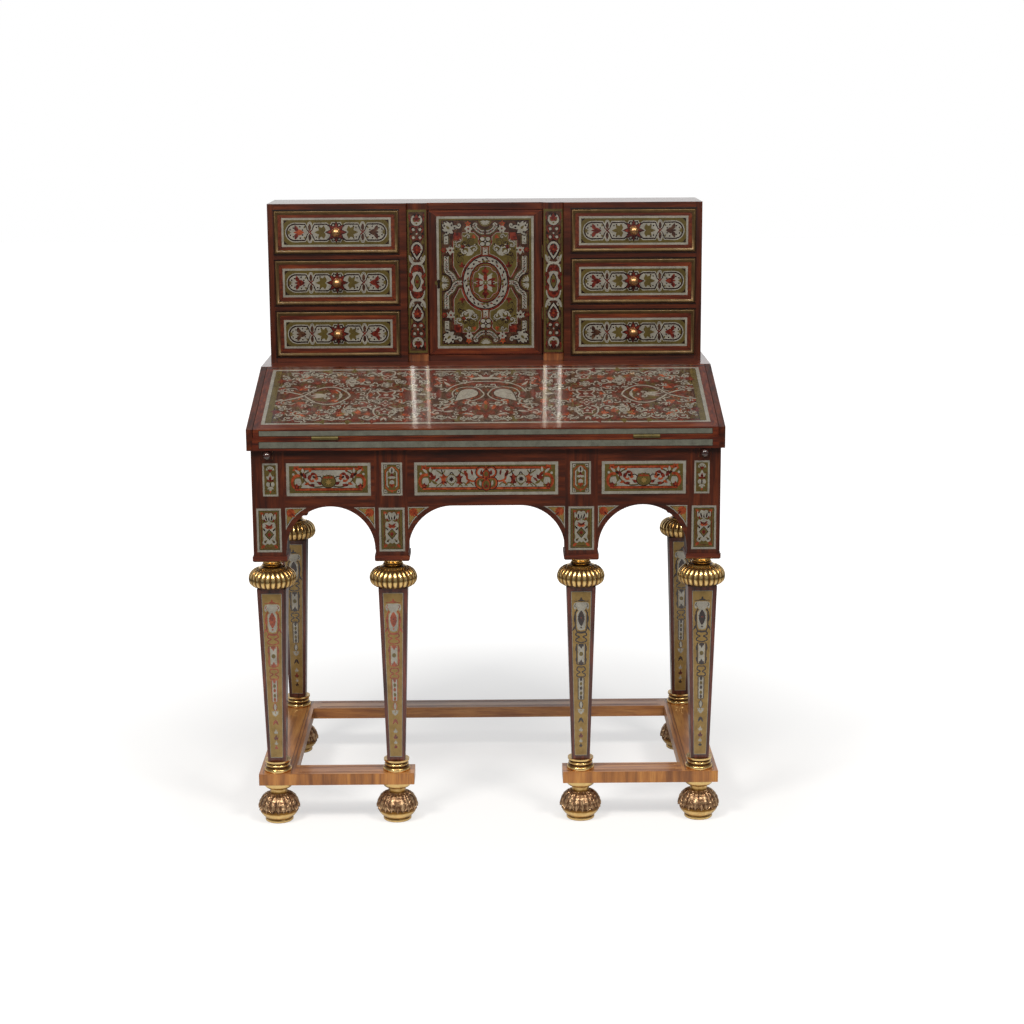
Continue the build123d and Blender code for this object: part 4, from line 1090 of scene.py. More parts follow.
def frieze_centre_design() -> Drawing:
    """Interlaced rings between two medallions, for the middle of the frieze, 266 by 62 mm."""
    d = frieze_ground(133.2, 31.0, 112.0)
    side = frieze_corner(112.0)
    for x in (44, 84):
        side.band(curve((x - 8, 16), (x - 3, 9), (x + 2, 12), (x + 8, 16)), 2.2, B)
        side.band(curve((x - 9, -14), (x - 3, -8), (x + 3, -10), (x + 9, -15)), 2.2, B)
    side.band(curve((46, 17), (50, 7), (58, 4), (64, 12), (70, 4), (79, 7), (83, 17)), 2.0, E)
    side.band(curve((44, -15), (52, -8), (58, -6), (64, -13), (71, -6), (79, -8), (86, -15)), 2.0, B)
    for x, inlay in ((50, R), (79, V)):
        side.almond((x, -1), 4.2, 10.5, inlay)
        side.leaves((x, 0, 35, 9, 4, inlay), (x, 0, 145, 9, 4, inlay), (x, -5, -35, 8, 4, R), (x, -5, 215, 8, 4, R))
    side.oval((64.5, -1), (9.6, 9.6), B, 18)
    side.oval((64.5, -1), (8.0, 8.0), P, 18)
    side.star((64.5, -1), 5.6, 3.0, 8, E)
    side.spray((98, -2), 75, 15, R, 3, 35, 0.42)
    side.leaves((90, -10, 20, 15, 5, B, 40), (95, -6, 130, 12, 4, R, 20))
    side.band(curve((41, 14), (36, 8), (35, -1), (26, -5), (18, -4)), 4.2, V, 0.2)
    side.leaves((35, 3, 60, 15, 6, R, 30), (30, -4, -40, 12, 5, V, -20), (26, 6, 90, 12, 4, R, -30))
    side.band(curve((40, -13), (30, -8), (24, -13)), 2.0, B)
    d.mirrored(side)
    knot = Drawing()
    for centre, ring in (
        ((9.5, -8.5), ((12.5, 13, E), (11, 11.5, V), (8, 8.5, B))),
        ((9, 12), ((11.5, 11.5, E), (10.2, 10.2, V), (7.2, 7.2, P))),
    ):
        for half_x, half_y, inlay in ring:
            knot.oval(centre, (half_x, half_y), inlay, 20)
    knot.leaves((9, 6, 90, 11, 5, R), (10, -14, 80, 11, 5, P))
    d.mirrored(knot)
    for centre, radii in (((0, -12), (8.2, 10.5)), ((0, 8), (6.2, 8.2))):
        for grow, inlay in ((1.2, E), (0, V), (-2.6, B)):
            d.oval(centre, (radii[0] + grow, radii[1] + grow), inlay, 18)
    d.oval((0, 0), (4.4, 4.4), V, 12)
    d.oval((0, 0), (2.4, 2.4), R, 10)
    d.spray((0, -18), 90, 9, R, 3, 30)
    return d


def frieze_side_design() -> Drawing:
    """Roundel between rising foliage, for the side panels of the frieze, 156 by 62 mm."""
    d = frieze_ground(78.0, 31.0, 56.0)
    side = frieze_corner(56.0)
    side.band(curve((10, -13), (24, -14), (36, -9), (45, 0), (42, 11), (32, 16)), 2.6, E)
    side.band(curve((10, -12.6), (24, -13.6), (36, -8.6), (44.5, 0), (41.5, 11), (32, 15.6)), 1.3, B)
    for row in (
        (22, -2, 80, 13, 8, V), (26, -4, 25, 15, 7, V), (25, -10, -10, 13, 6, R), (20, -8, 170, 12, 6, R),
        (38, 0, 120, 13, 7, R), (41, 2, 60, 13, 6, R), (36, -6, -30, 10, 5, V), (33, 10, 170, 11, 6, R),
        (34, 14, 100, 7, 5, V), (13, -7, 10, 10, 4, R), (46, 8, 20, 9, 4, E), (30, 6, 200, 8, 4, E),
    ):
        side.leaves((*row, 22))
    side.dots([(18, 5), (31, 1), (46, -8)], 2.2, P)
    side.band(curve((12, 2), (16, 6), (22, 5)), 1.8, E)
    d.mirrored(side)
    d.oval((0, -4), (14.4, 12.2), E, 20)
    d.oval((0, -4), (13.0, 10.8), B, 20)
    d.area([*arc((0, 0), (13.5, 8.6), 15, 165, 10)], E)
    d.area([*arc((0, 0.6), (11.6, 6.6), 15, 165, 10)], V)
    for x in (-9, -3, 3, 9):
        d.leaf((x, 5 - abs(x) * 0.2), 90, 5.5, 4, B)
    d.star((0, -5), 6, 3.4, 8, G)
    return d


def narrow_outer_design() -> Drawing:
    """Shell, husks and drop for the narrow panel over an outer post, 28 by 62 mm."""
    d = Drawing()
    d.rectangle(14.2, 31.0, P)
    d.rectangle(10.9, 27.6, B)
    d.area([(-7.6, 18), *arc((0, 18), (7.8, 8), 180, 0, 10)], P)
    for x in (-4.5, 0, 4.5):
        d.leaf((x * 0.5, 18), 90 - x * 8, 6.5, 1.4, B)
    d.spray((0, 19), 270, 7, R, 3, 60, 0.5)
    d.spray((0, 1), 90, 13, P, 3, 48, 0.5)
    d.leaf((0, -2), 90, 10, 5, R)
    d.rectangle(6.5, 1.6, R, (0, -1.5))
    d.oval((4.2, -8.5), (3.6, 4.4), P, 12)
    d.oval((-4.2, -8.5), (3.6, 4.4), P, 12)
    d.leaf((0, -5), -90, 9, 2.6, E)
    d.spray((0, -13), 270, 11, P, 3, 45, 0.42)
    d.leaf((0, -20), -90, 6, 3, V)
    d.dots([(7, -22), (-7, -22), (7.6, 8), (-7.6, 8)], 1.1, R)
    return d


def narrow_inner_design() -> Drawing:
    """Framed column of lobes for the narrow panel over an inner post, 38 by 62 mm."""
    d = Drawing()
    d.rectangle(19.2, 31.0, P)
    d.rectangle(15.6, 27.4, E)
    d.rectangle(14.8, 26.6, B)
    side = Drawing()
    side.area([(14.4, 26.2), (8.5, 26.2), (10, 21), (14.4, 19)], P)
    side.dots([(11.6, 23)], 1.4, E)
    side.band([(0, 22.5), (6, 21.5), (11.8, 15), (11.8, 0)], 2.0, V)
    side.band([(6.4, 15), (9.0, 12), (9.0, 0)], 2.4, P)
    d.mirrored(side, upright=True)
    d.almond((0, 16), 5.4, 6.5, P)
    d.almond((0, 16.5), 1.4, 4.5, E)
    d.spray((0, 5), 90, 7, R, 3, 70, 0.6)
    d.oval((0, 3), (7.2, 2.6), P, 12)
    d.spray((0, -5), 90, 7, R, 3, 75, 0.6)
    d.oval((0, -6.5), (4.6, 4.6), P, 14)
    d.spray((0, -10), 270, 8, V, 3, 55, 0.6)
    d.leaf((0, -20), -90, 6, 4, V)
    return d


def post_design(half_x: float) -> Drawing:
    """Pewter strapwork on brass inside a vermilion line, for a case post, by its half width, 83 mm high."""
    d = Drawing()
    d.rectangle(half_x, 41.5, P)
    d.rectangle(half_x - 3.8, 37.6, E)
    d.rectangle(half_x - 4.6, 36.8, B)
    side = Drawing()
    side.band([(0, 33.5), (14.4, 33.5), (14.4, 0)], 1.3, R)
    side.leaf((15.5, 34.5), 225, 11, 5, V)
    d.mirrored(side, upright=True)
    half = Drawing()
    half.area(curve((0, 31), (5, 33), (9, 28), (12, 31), (12.5, 22), (8, 18), (12, 11), (11, 4), (6, 7), (0, 10)), P)
    half.area(curve((0, 4), (5, 6), (11, 2), (12, -8), (11, -17), (13, -24), (8, -28), (4, -25), (0, -27)), P)
    half.leaves((6, 14, 60, 9, 4, R, 20), (4, 18, 75, 11, 3, E, 10), (2, 18, -30, 8, 3.4, B, 20), (9, 26, 80, 5, 2, E))
    half.leaves((0, 4, 55, 11, 4.4, R, -20), (0, 3, 20, 9, 3.6, V, 30), (7, -2, 60, 8, 3, E, -20))
    half.dots([(8, -22)], 2.2, E)
    half.leaf((4, -18), -40, 7, 2.4, B)
    d.mirrored(half)
    d.leaf((0, 10), 90, 16, 4, E)
    d.almond((0, 15), 1.4, 5, P)
    d.area([(0, 2), (9, -8), (0, -19), (-9, -8)], E)
    d.area([(0, 0.4), (7.6, -8), (0, -17), (-7.6, -8)], B)
    d.area([(0, -4), (4, -8.5), (0, -13.5), (-4, -8.5)], R)
    return d


def spandrel_design() -> Drawing:
    """Flame between two gilt lines for the corner over an arch; the arch's own centre is the origin."""
    d = Drawing()
    for inset, inlay in ((0.0, P), (1.8, E), (2.5, G)):
        right, top, radius = 83.0 - inset, 80.5 - inset, 91.5 + inset
        start = math.degrees(math.atan2(math.sqrt(radius**2 - right**2), right))
        end = math.degrees(math.atan2(top, math.sqrt(radius**2 - top**2)))
        d.area([(right, top), *arc((0, 0), (radius, radius), end, start, 10)], inlay)
    d.spray((78.5, 76), 225, 20, V, 5, 32, 0.36)
    d.leaf((72, 69.5), 225, 9, 3, R)
    return d


def leg_design(strap: Inlay) -> Drawing:
    """Stacked cartouches that thin to a chain of husks, for the front of a leg, at the width of its middle."""
    d = Drawing()
    d.rectangle(15.9, 162.7, E)
    d.rectangle(15.3, 162.1, P)
    d.rectangle(14.6, 161.4, G)
    half = Drawing()
    half.band([(0, 143.5), (11.5, 143.5)], 1.4, strap)
    half.area(curve((0, 141), (6, 141.5), (11, 139), (12.2, 131), (9.4, 127), (8, 131), (5, 126), (0, 124)), P)
    half.band(curve((8.5, 139), (10.2, 134), (7.5, 131.5)), 1.2, strap)
    half.area([(0, 128), (5, 124), (7.4, 119), (7.4, 96), (5.5, 88), (0, 86)], P)
    half.band([(6.4, 127), (9.6, 121), (9.6, 92), (7.4, 84), (0, 83)], 2.4, strap)
    half.leaves((9.6, 100, 80, 17, 3.2, strap, 12), (9.4, 96, -70, 13, 3.4, strap, 20))
    half.band(curve((0, 81), (7, 82), (9, 77), (3, 73.5), (8, 70), (8.5, 65), (0, 62)), 2.3, strap)
    half.area([(0, 58), (5.6, 58), (5.6, 21), (0, 21)], P)
    half.band([(0, 59), (7.4, 60), (7.8, 40), (7.4, 20), (0, 18)], 2.3, strap)
    half.leaves((8.6, 44, 86, 14, 3, strap, 10), (8.4, 34, -86, 12, 3, strap, -10))
    half.band(curve((0, 14), (6, 14), (7.6, 8), (2, 4), (7.6, 0), (6.6, -5), (0, -5)), 2.3, strap)
    half.area([(0, -8), (4.6, -8), (4.6, -50), (0, -50)], P)
    half.band([(0, -7), (5.8, -8), (5.8, -50), (0, -51.5)], 1.7, strap)
    half.leaves((0, -69, -30, 10, 4, P, -60), (0, -80, 70, 14, 4.4, P, -40), (0, -86, -68, 13, 4.6, strap, 16))
    d.mirrored(half)
    d.spray((0, 144), 90, 7.5, strap, 3, 70, 0.45)
    d.almond((0, 110), 5.2, 15.5, strap)
    d.flower((0, 111), 7.0, 6, strap, R, 30, 0.6)
    d.dots([(0, 92)], 1.6, strap)
    d.oval((0, 40), (3.6, 4.4), B, 14)
    d.spray((0, 59), 270, 9, strap, 3, 45, 0.5)
    d.spray((0, 19), 90, 10, strap, 3, 40, 0.5)
    for y, inlay in ((-10, strap), (-19, B), (-28, strap), (-38, B), (-46, strap)):
        d.almond((0, y), 2.6, 4.2, inlay)
    for grow, inlay in ((0, strap), (-1.6, P)):
        d.almond((0, -61), 4.4 + grow, 8.6 + grow, inlay)
    for y, size, inlay in ((-114, 9, P), (-126, 10, R), (-136, 8, P), (-145, 8, strap)):
        d.spray((0, y), 90, size, inlay, 3, 45, 0.5)
    return d


def string_design(half_x: float, half_y: float) -> Drawing:
    """A pewter string let in round a plain side."""
    d = Drawing()
    d.band([(-half_x, -half_y), (half_x, -half_y), (half_x, half_y), (-half_x, half_y)], 2.2, P, closed=True)
    return d


def stripe_design(half_x: float, half_y: float) -> Drawing:
    """A tarnished pewter stripe between two dark lines, along an edge."""
    d = Drawing()
    d.rectangle(half_x + 0.7, half_y + 0.7, E)
    d.rectangle(half_x, half_y, Inlay.TARNISHED)
    return d


def keyhole_design() -> Drawing:
    """The lock's opening as a flat dark shape: painted shade in the place of the hole."""
    d = Drawing()
    d.area([(-1.6, 2), (-2.8, -9), (2.8, -9), (1.6, 2)], E)
    d.oval((0, 4), (3.4, 3.6), E, 12)
    return d


# ------------------
# Turned and carved work
# ------------------
@dataclass
class Carving:
    """Closed shells in millimetres that make one turned or carved object; depth 1 is a hollow with dirt and painted
    shade, 0 a rubbed crest with a painted highlight.
    """

    points: list[Place] = field(default_factory=list)
    faces: list[Sequence[int]] = field(default_factory=list)
    depths: list[float] = field(default_factory=list)

    def turn(self, profile: Sequence[Place], centre: Place, steps: int = 56) -> None:
        """Turn a closed profile round an upright axis.

        Args:
            profile: radius, level and depth of painted shade of each point, out along the foot, up the side and back
                in.
            centre: the foot of the axis.
            steps: how many flats the round has.
        """
        first, count = len(self.points), len(profile)
        for i in range(steps):
            angle = math.tau * i / steps
            for radius, level, depth in profile:
                x, y = centre[0] + radius * math.cos(angle), centre[1] + radius * math.sin(angle)
                self.points.append((x, y, centre[2] + level))
                self.depths.append(depth)
        for i in range(steps):
            here, there = first + i * count, first + (i + 1) % steps * count
            for j in range(count):
                k = (j + 1) % count
                if profile[j][0] or profile[k][0]:
                    self.faces.append([here + j, there + j, there + k, here + k])

    def sweep(self, rings: Sequence[Ring], closed: bool = False) -> None:
        """Skin closed rings of x, y, z and depth, with flat ends unless the last ring meets the first."""
        first, count = len(self.points), len(rings[0])
        for ring in rings:
            self.points += [point[:3] for point in ring]
            self.depths += [point[3] for point in ring]
        last = len(rings) if closed else len(rings) - 1
        for i in range(last):
            here, there = first + i * count, first + (i + 1) % len(rings) * count
            self.faces += [[here + j, here + (j + 1) % count, there + (j + 1) % count, there + j] for j in range(count)]
        if not closed:
            ends = [[first + j for j in reversed(range(count))], [first + last * count + j for j in range(count)]]
            self.faces += ends

    def mesh(self, name: str, *materials: Material) -> Mesh:
        """Make the mesh, with its depths as an attribute, doubles merged and faces turned outwards."""
        mesh = bpy.data.meshes.new(name)
        mesh.from_pydata([Vector(p) * MM for p in self.points], [], self.faces)
        mesh.attributes.new("depth", "FLOAT", "POINT").data.foreach_set("value", self.depths)
        for material in materials:
            mesh.materials.append(material)
        work = bmesh.new()
        work.from_mesh(mesh)
        bmesh.ops.remove_doubles(work, verts=work.verts, dist=WELD)
        bmesh.ops.recalc_face_normals(work, faces=work.faces)
        work.to_mesh(mesh)
        work.free()
        return mesh


class Rings(Graph):
    """A Geometry Nodes tree that sets one shape in rings, one ring round each point of the object it is on."""

    def __init__(self) -> None:
        """Build the tree."""
        super().__init__(bpy.data.node_groups.new("rings_of_ornament", "GeometryNodeTree"), "Geometry")
        kinds = {"Places": "Geometry", "Shape": "Object", "Count": "Int", "Phase": "Float", "Unevenness": "Float"}
        self.keys = {}
        for label, kind in {**kinds, "Seed": "Int", "Finish": "Material"}.items():
            socket = self.tree.interface.new_socket(label, in_out="INPUT", socket_type="NodeSocket" + kind)
            self.keys[label] = socket.identifier
        self.tree.interface.new_socket("Geometry", in_out="OUTPUT", socket_type="NodeSocketGeometry")
        given = self.tree.nodes.new("NodeGroupInput").outputs
        shape = self.add("ObjectInfo", {"Object": given["Shape"]}, "Geometry")
        marks = self.add("Points", {"Count": given["Count"]})
        index = self.add("InputIndex", {})
        pitch = self.add("ShaderNodeMath", {0: math.tau, 1: given["Count"]}, operation="DIVIDE")
        place = self.add("ShaderNodeMath", {0: index, 1: pitch, 2: given["Phase"]}, operation="MULTIPLY_ADD")
        off = self.add("FunctionNodeRandomValue", {3: given["Unevenness"], 8: given["Seed"]}, 1, data_type="FLOAT")
        angle = self.add("ShaderNodeMath", {0: place, 1: off}, operation="ADD")
        turn = self.add("FunctionNodeAxisAngleToRotation", {"Axis": (0.0, 0.0, 1.0), "Angle": angle})
        ring = self.add("InstanceOnPoints", {"Points": marks, "Instance": shape, "Rotation": turn})
        rings = self.add("InstanceOnPoints", {"Points": given["Places"], "Instance": ring})
        real = self.add("RealizeInstances", {"Geometry": rings})
        finished = self.add("SetMaterial", {"Geometry": real, "Material": given["Finish"]})
        self.tree.links.new(finished, self.tree.nodes.new("NodeGroupOutput").inputs["Geometry"])

    def run(self, name: str, shape: Mesh, places: Sequence[Place], finish: Material, **values: float) -> Mesh:
        """Set a shape in rings and give the result as a plain mesh.

        Args:
            name: the result's name.
            shape: the shape, in its place beside the origin's upright axis.
            places: the foot of each ring's axis, in millimetres.
            finish: its material.
            values: the tree's other inputs by name.

        Returns:
            The mesh of all the rings.
        """
        points = bpy.data.meshes.new(name + "_places")
        points.from_pydata([Vector(p) * MM for p in places], [], [])
        host, one = bpy.data.objects.new(name + "_places", points), bpy.data.objects.new(name + "_shape", shape)
        for thing in (host, one):
            bpy.context.scene.collection.objects.link(thing)
        modifier = host.modifiers.new(name, "NODES")
        modifier.node_group = self.tree
        for label, value in {"Shape": one, "Finish": finish, "Seed": 7, **values}.items():
            modifier[self.keys[label]] = value
        ready = bpy.context.evaluated_depsgraph_get()
        grown = host.evaluated_get(ready)
        mesh = bpy.data.meshes.new_from_object(grown, preserve_all_data_layers=True, depsgraph=ready)
        host.modifiers.remove(modifier)
        for thing in (host, one):
            bpy.data.objects.remove(thing)
        return mesh


def rounded(
    centre: Point, radii: Point, start: float, end: float, shade: Callable[[float], float], count: int = 8
) -> list[Place]:
    """An arc of a turned profile, with its depth of painted shade given by how far along it a point is."""
    return [(*p, shade(i / count)) for i, p in enumerate(arc(centre, radii, start, end, count))]


# ------------------
# The desk
# ------------------
@dataclass
class Gradin:
    """The nest of six drawers and the cupboard on the ledge; sizes in millimetres."""

    drawer_middle: float = 292.25
    drawer_half: float = 121.65
    drawer_board: float = 85.0
    drawer_levels: tuple[tuple[str, float, float], ...] = (
        ("bottom", 859.1, 947.1), ("middle", 961.3, 1047.9), ("top", 1062.1, 1145.1),
    )
    # how far in from the board's edge and how proud each point of the brass moulding stands
    moulding: tuple[Point, ...] = (
        (0, 0), (0, 1.2), (0.5, 2.1), (1.3, 2.8), (2.2, 3.0), (3.1, 2.7), (5.0, 1.7), (5.3, 1.3), (6.2, 1.2),
        (6.8, 0.9), (6.8, 0),
    )
    moulding_seat: float = 6.9
    # the painted shadow round a drawer's opening, a dark band on the carcase where the gap is in shade
    opening_face: float = 83.5
    opening_reach: float = 2.0
    opening_shadow_width: float = 2.7
    door_middle: Place = (0.0, 95.5, 1002.1)
    keyhole: Place = (-92.5, 94.4, 1001.0)
    side_middle: Place = (427.0, 161.0, 1002.8)
    side_string: Point = (62.0, 140.0)
    pilaster_middle: float = 134.5
    pilaster_level: float = 1005.3
    pilaster_crown: float = 85.5
    pilaster_bow: float = 54.53
    pilaster_folds: tuple[float, ...] = (-15.0, -10.0, -5.0, 0.0, 5.0, 10.0, 15.0)
    block_level: float = 854.0
    block_half: Point = (20.2, 7.0)

    def build(self, finishes: Finishes) -> None:
        """Dress the carcase, and build the drawers, the door and the pilasters."""
        dress(finishes.kingwood_z, "gradin_side_left", "gradin_side_right", "gradin_pilasters")
        dress(finishes.kingwood_x, "gradin_top", "gradin_base", "gradin_dividers")
        dress(finishes.oak_x, "gradin_back")
        dress(finishes.rosewood_z, "door_panel")
        dress(finishes.cast_brass, "door_lock", "door_hinge_frame_leaves", "door_hinge_door_leaves")
        for side, sign in SIDES:
            for level, low, top in self.drawer_levels:
                self.drawer(side, sign, level, low, top, finishes)
        door = Marquetry()
        door.lay(door_design(), Face(self.door_middle).at)
        door.lay(keyhole_design(), Face(self.keyhole).at)
        door.piece("door_marquetry", "door", finishes)
        self.pilasters(finishes)
        strings, opening_shadows = Marquetry(), Marquetry()
        x, y, z = self.side_middle
        for _, sign in SIDES:
            strings.lay(string_design(*self.side_string), Face((sign * x, y, z), (0.0, sign, 0.0)).at)
            for _, low, top in self.drawer_levels:
                # painted shadow: a dark band laid round each drawer's opening
                across, up = self.drawer_half + self.opening_reach, (top - low) / 2 + self.opening_reach
                line = Drawing()
                corners = [(across, up), (-across, up), (-across, -up), (across, -up)]
                line.band(corners, self.opening_shadow_width, E, closed=True)
                opening_shadows.lay(line, Face((sign * self.drawer_middle, self.opening_face, (low + top) / 2)).at)
        strings.piece("gradin_side_stringing", "carcase", finishes)
        opening_shadows.piece("drawer_opening_lines", "carcase", finishes)

    def drawer(self, side: str, sign: int, level: str, low: float, top: float, finishes: Finishes) -> None:
        """Build one drawer's front: its board, its mitred brass moulding and its marquetry.

        Args:
            side: which side of the door it is on.
            sign: that side's sign along X.
            level: its level's name.
            low: the lower edge of its front.
            top: the upper edge of its front.
            finishes: every finish.
        """
        name, body, middle = f"{side}_{level}", f"drawer_{side}_{level}", sign * self.drawer_middle
        front, centre, half = f"drawer_front_{name}", (low + top) / 2, (top - low) / 2
        dress(finishes.oak_y, f"drawer_box_{name}")
        dress(finishes.knob, f"drawer_knob_{name}")
        board = self.board(f"drawer_board_{name}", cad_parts[front].data, finishes)
        settle(board.name, board, body, replaced=front)
        brass = Carving()
        rings = [
            [
                (middle + sx * (self.drawer_half - d), self.drawer_board - h, centre + sz * (half - d), 0.0)
                for d, h in self.moulding
            ]
            for sx, sz in ((1, 1), (-1, 1), (-1, -1), (1, -1))
        ]
        brass.sweep(rings, closed=True)
        moulding = brass.mesh(f"drawer_moulding_{name}", finishes.moulding)
        settle(moulding.name, moulding, body, 50.0, front)
        flowers = {"top": (V if sign < 0 else R, N), "middle": (R, R), "bottom": (N, R)}[level]
        panel = Marquetry()
        drawing = drawer_design(*flowers, half - self.moulding_seat)
        panel.lay(drawing, Face((middle, self.drawer_board, centre)).at)
        panel.piece(f"drawer_marquetry_{name}", body, finishes)

    def board(self, name: str, packed: Mesh, finishes: Finishes) -> Mesh:
        """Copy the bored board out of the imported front, and leave its plain square frame behind."""
        work = bmesh.new()
        work.from_mesh(packed)
        seat = (self.drawer_board + 0.01) * MM
        spare = []
        for face in work.faces:
            depths = [v.co.y for v in face.verts]
            if max(depths) < seat and (min(depths) < seat - 0.1 * MM or face.normal.y > 0.5):
                spare.append(face)
        bmesh.ops.delete(work, geom=spare, context="FACES")
        bmesh.ops.remove_doubles(work, verts=work.verts, dist=WELD)
        mesh = bpy.data.meshes.new(name)
        work.to_mesh(mesh)
        work.free()
        mesh.materials.clear()
        mesh.materials.append(finishes.rosewood_x)
        return mesh

    def pilasters(self, finishes: Finishes) -> None:
        """Lay the bowed panels of the two pilasters, with a walnut block at the foot of each."""
        panels = Marquetry()
        block = Drawing()
        block.rectangle(*self.block_half, Inlay.BLOCK)
        for _, sign in SIDES:
            for level, drawing in ((self.pilaster_level, pilaster_design()), (self.block_level, block)):
                place = partial(self.bowed, sign * self.pilaster_middle, level)
                panels.lay(drawing, place, self.pilaster_folds)
        panels.piece("pilaster_marquetry", "carcase", finishes)

    def bowed(self, across: float, level: float, x: float, y: float, height: float) -> Vector:
        """The point in metres of a place on a pilaster's bowed front."""
        angle, radius = x / self.pilaster_bow, self.pilaster_bow + height
        depth = self.pilaster_crown + self.pilaster_bow - radius * math.cos(angle)
        return Vector((across + radius * math.sin(angle), depth, level + y)) * MM


@dataclass
class WritingCase:
    """The sloping case: posts, aprons, bed, cheeks, ledge and fall; sizes in millimetres."""

    front: float = -244.0
    side: float = 434.5
    edge: float = -253.5
    frieze: float = 671.5
    post: float = 576.0
    arch: float = 538.0
    slope: float = math.radians(15.905)
    bearer: Point = (404.0, 718.25)
    bearer_half: Point = (9.9, 8.7)
    # half width, level and half height of the stripes on the front edges; the ledge's has its depth too
    bed_stripe: tuple[float, ...] = (417.5, 738.1, 5.6)
    ledge_stripe: tuple[float, ...] = (440.0, 26.5, 843.6, 1.3)
    fall_stripe: tuple[float, ...] = (417.0, 759.7, 4.6)
    fall_middle: Place = (0.0, -116.4, 806.1)
    # thin enough for the open fall to lie on its bearers
    fall_proud: float = 0.15

    def build(self, finishes: Finishes) -> None:
        """Dress the case and lay its marquetry."""
        dress(finishes.kingwood_z, "case_posts", "apron_side_left", "apron_side_right")
        dress(finishes.kingwood_x, "apron_front", "case_back")
        dress(finishes.rosewood_x, "post_plinths", "ledge_board", "writing_bed", "fall_front")
        dress(finishes.kingwood_y, "cheek_left", "cheek_right")
        dress(finishes.oak_y, "loper_left", "loper_right", "loper_guides")
        dress(finishes.cast_brass, "fall_hinge_bed_leaves", "fall_hinge_fall_leaves")
        end = Drawing()
        end.rectangle(*self.bearer_half, Inlay.KINGWOOD)
        for side, sign in SIDES:
            dress(finishes.bearer_knob, f"loper_knob_{side}")
            facing = Marquetry()
            facing.lay(end, Face((sign * self.bearer[0], self.front, self.bearer[1])).at)
            facing.piece(f"bearer_facing_{side}", f"bearer_{side}", finishes)
        self.apron(finishes)
        self.ends(finishes)
        half, level, high = self.bed_stripe
        edges = Marquetry()
        edges.lay(stripe_design(half, high), Face((0.0, self.edge, level)).at)
        half, depth, level, high = self.ledge_stripe
        edges.lay(stripe_design(half, high), Face((0.0, depth, level)).at)
        edges.piece("edge_stringing", "carcase", finishes)
        half, level, high = self.fall_stripe
        fall = Marquetry(self.fall_proud)
        fall.lay(fall_design(), Face(self.fall_middle, up=(0.0, math.cos(self.slope), math.sin(self.slope))).at)
        fall.lay(stripe_design(half, high), Face((0.0, self.edge, level)).at)
        fall.piece("fall_marquetry", "fall", finishes)

    def apron(self, finishes: Finishes) -> None:
        """Lay the frieze, the posts and the corners of the three arches."""
        panels = Marquetry()
        for x, z, drawing in (
            (0.0, self.frieze, frieze_centre_design()),
            (292.0, self.frieze, frieze_side_design()),
            (399.7, self.frieze, narrow_outer_design()),
            (174.65, self.frieze, narrow_inner_design()),
            (404.4, self.post, post_design(22.9)),
            (176.15, self.post, post_design(23.9)),
        ):
            for sign in (1, -1) if x else (1,):
                panels.lay(drawing, Face((sign * x, self.front, z)).at)
        # middle of each arch, and which of its corners have a panel
        for centre, turned in ((290.25, (1, -1)), (-290.25, (1, -1)), (62.75, (1,)), (-62.75, (-1,))):
            for sign in turned:
                corner = Drawing()
                corner.laid(spandrel_design(), lambda p, sign=sign: (p[0] * sign, p[1]))
                panels.lay(corner, Face((centre, self.front, self.arch)).at)
        panels.piece("front_marquetry", "carcase", finishes)

    def ends(self, finishes: Finishes) -> None:
        """Lay the panels of the case's two ends."""
        panels = Marquetry()
        rows = [(0.0, self.frieze, frieze_centre_design())]
        rows += [(y, self.frieze, narrow_inner_design()) for y in (-209.0, 209.0)]
        rows += [(y, self.post, post_design(22.9)) for y in (-213.5, 213.5)]
        for _, sign in SIDES:
            for y, z, drawing in rows:
                panels.lay(drawing, Face((sign * self.side, y, z), (0.0, sign, 0.0)).at)
        panels.piece("end_marquetry", "carcase", finishes)


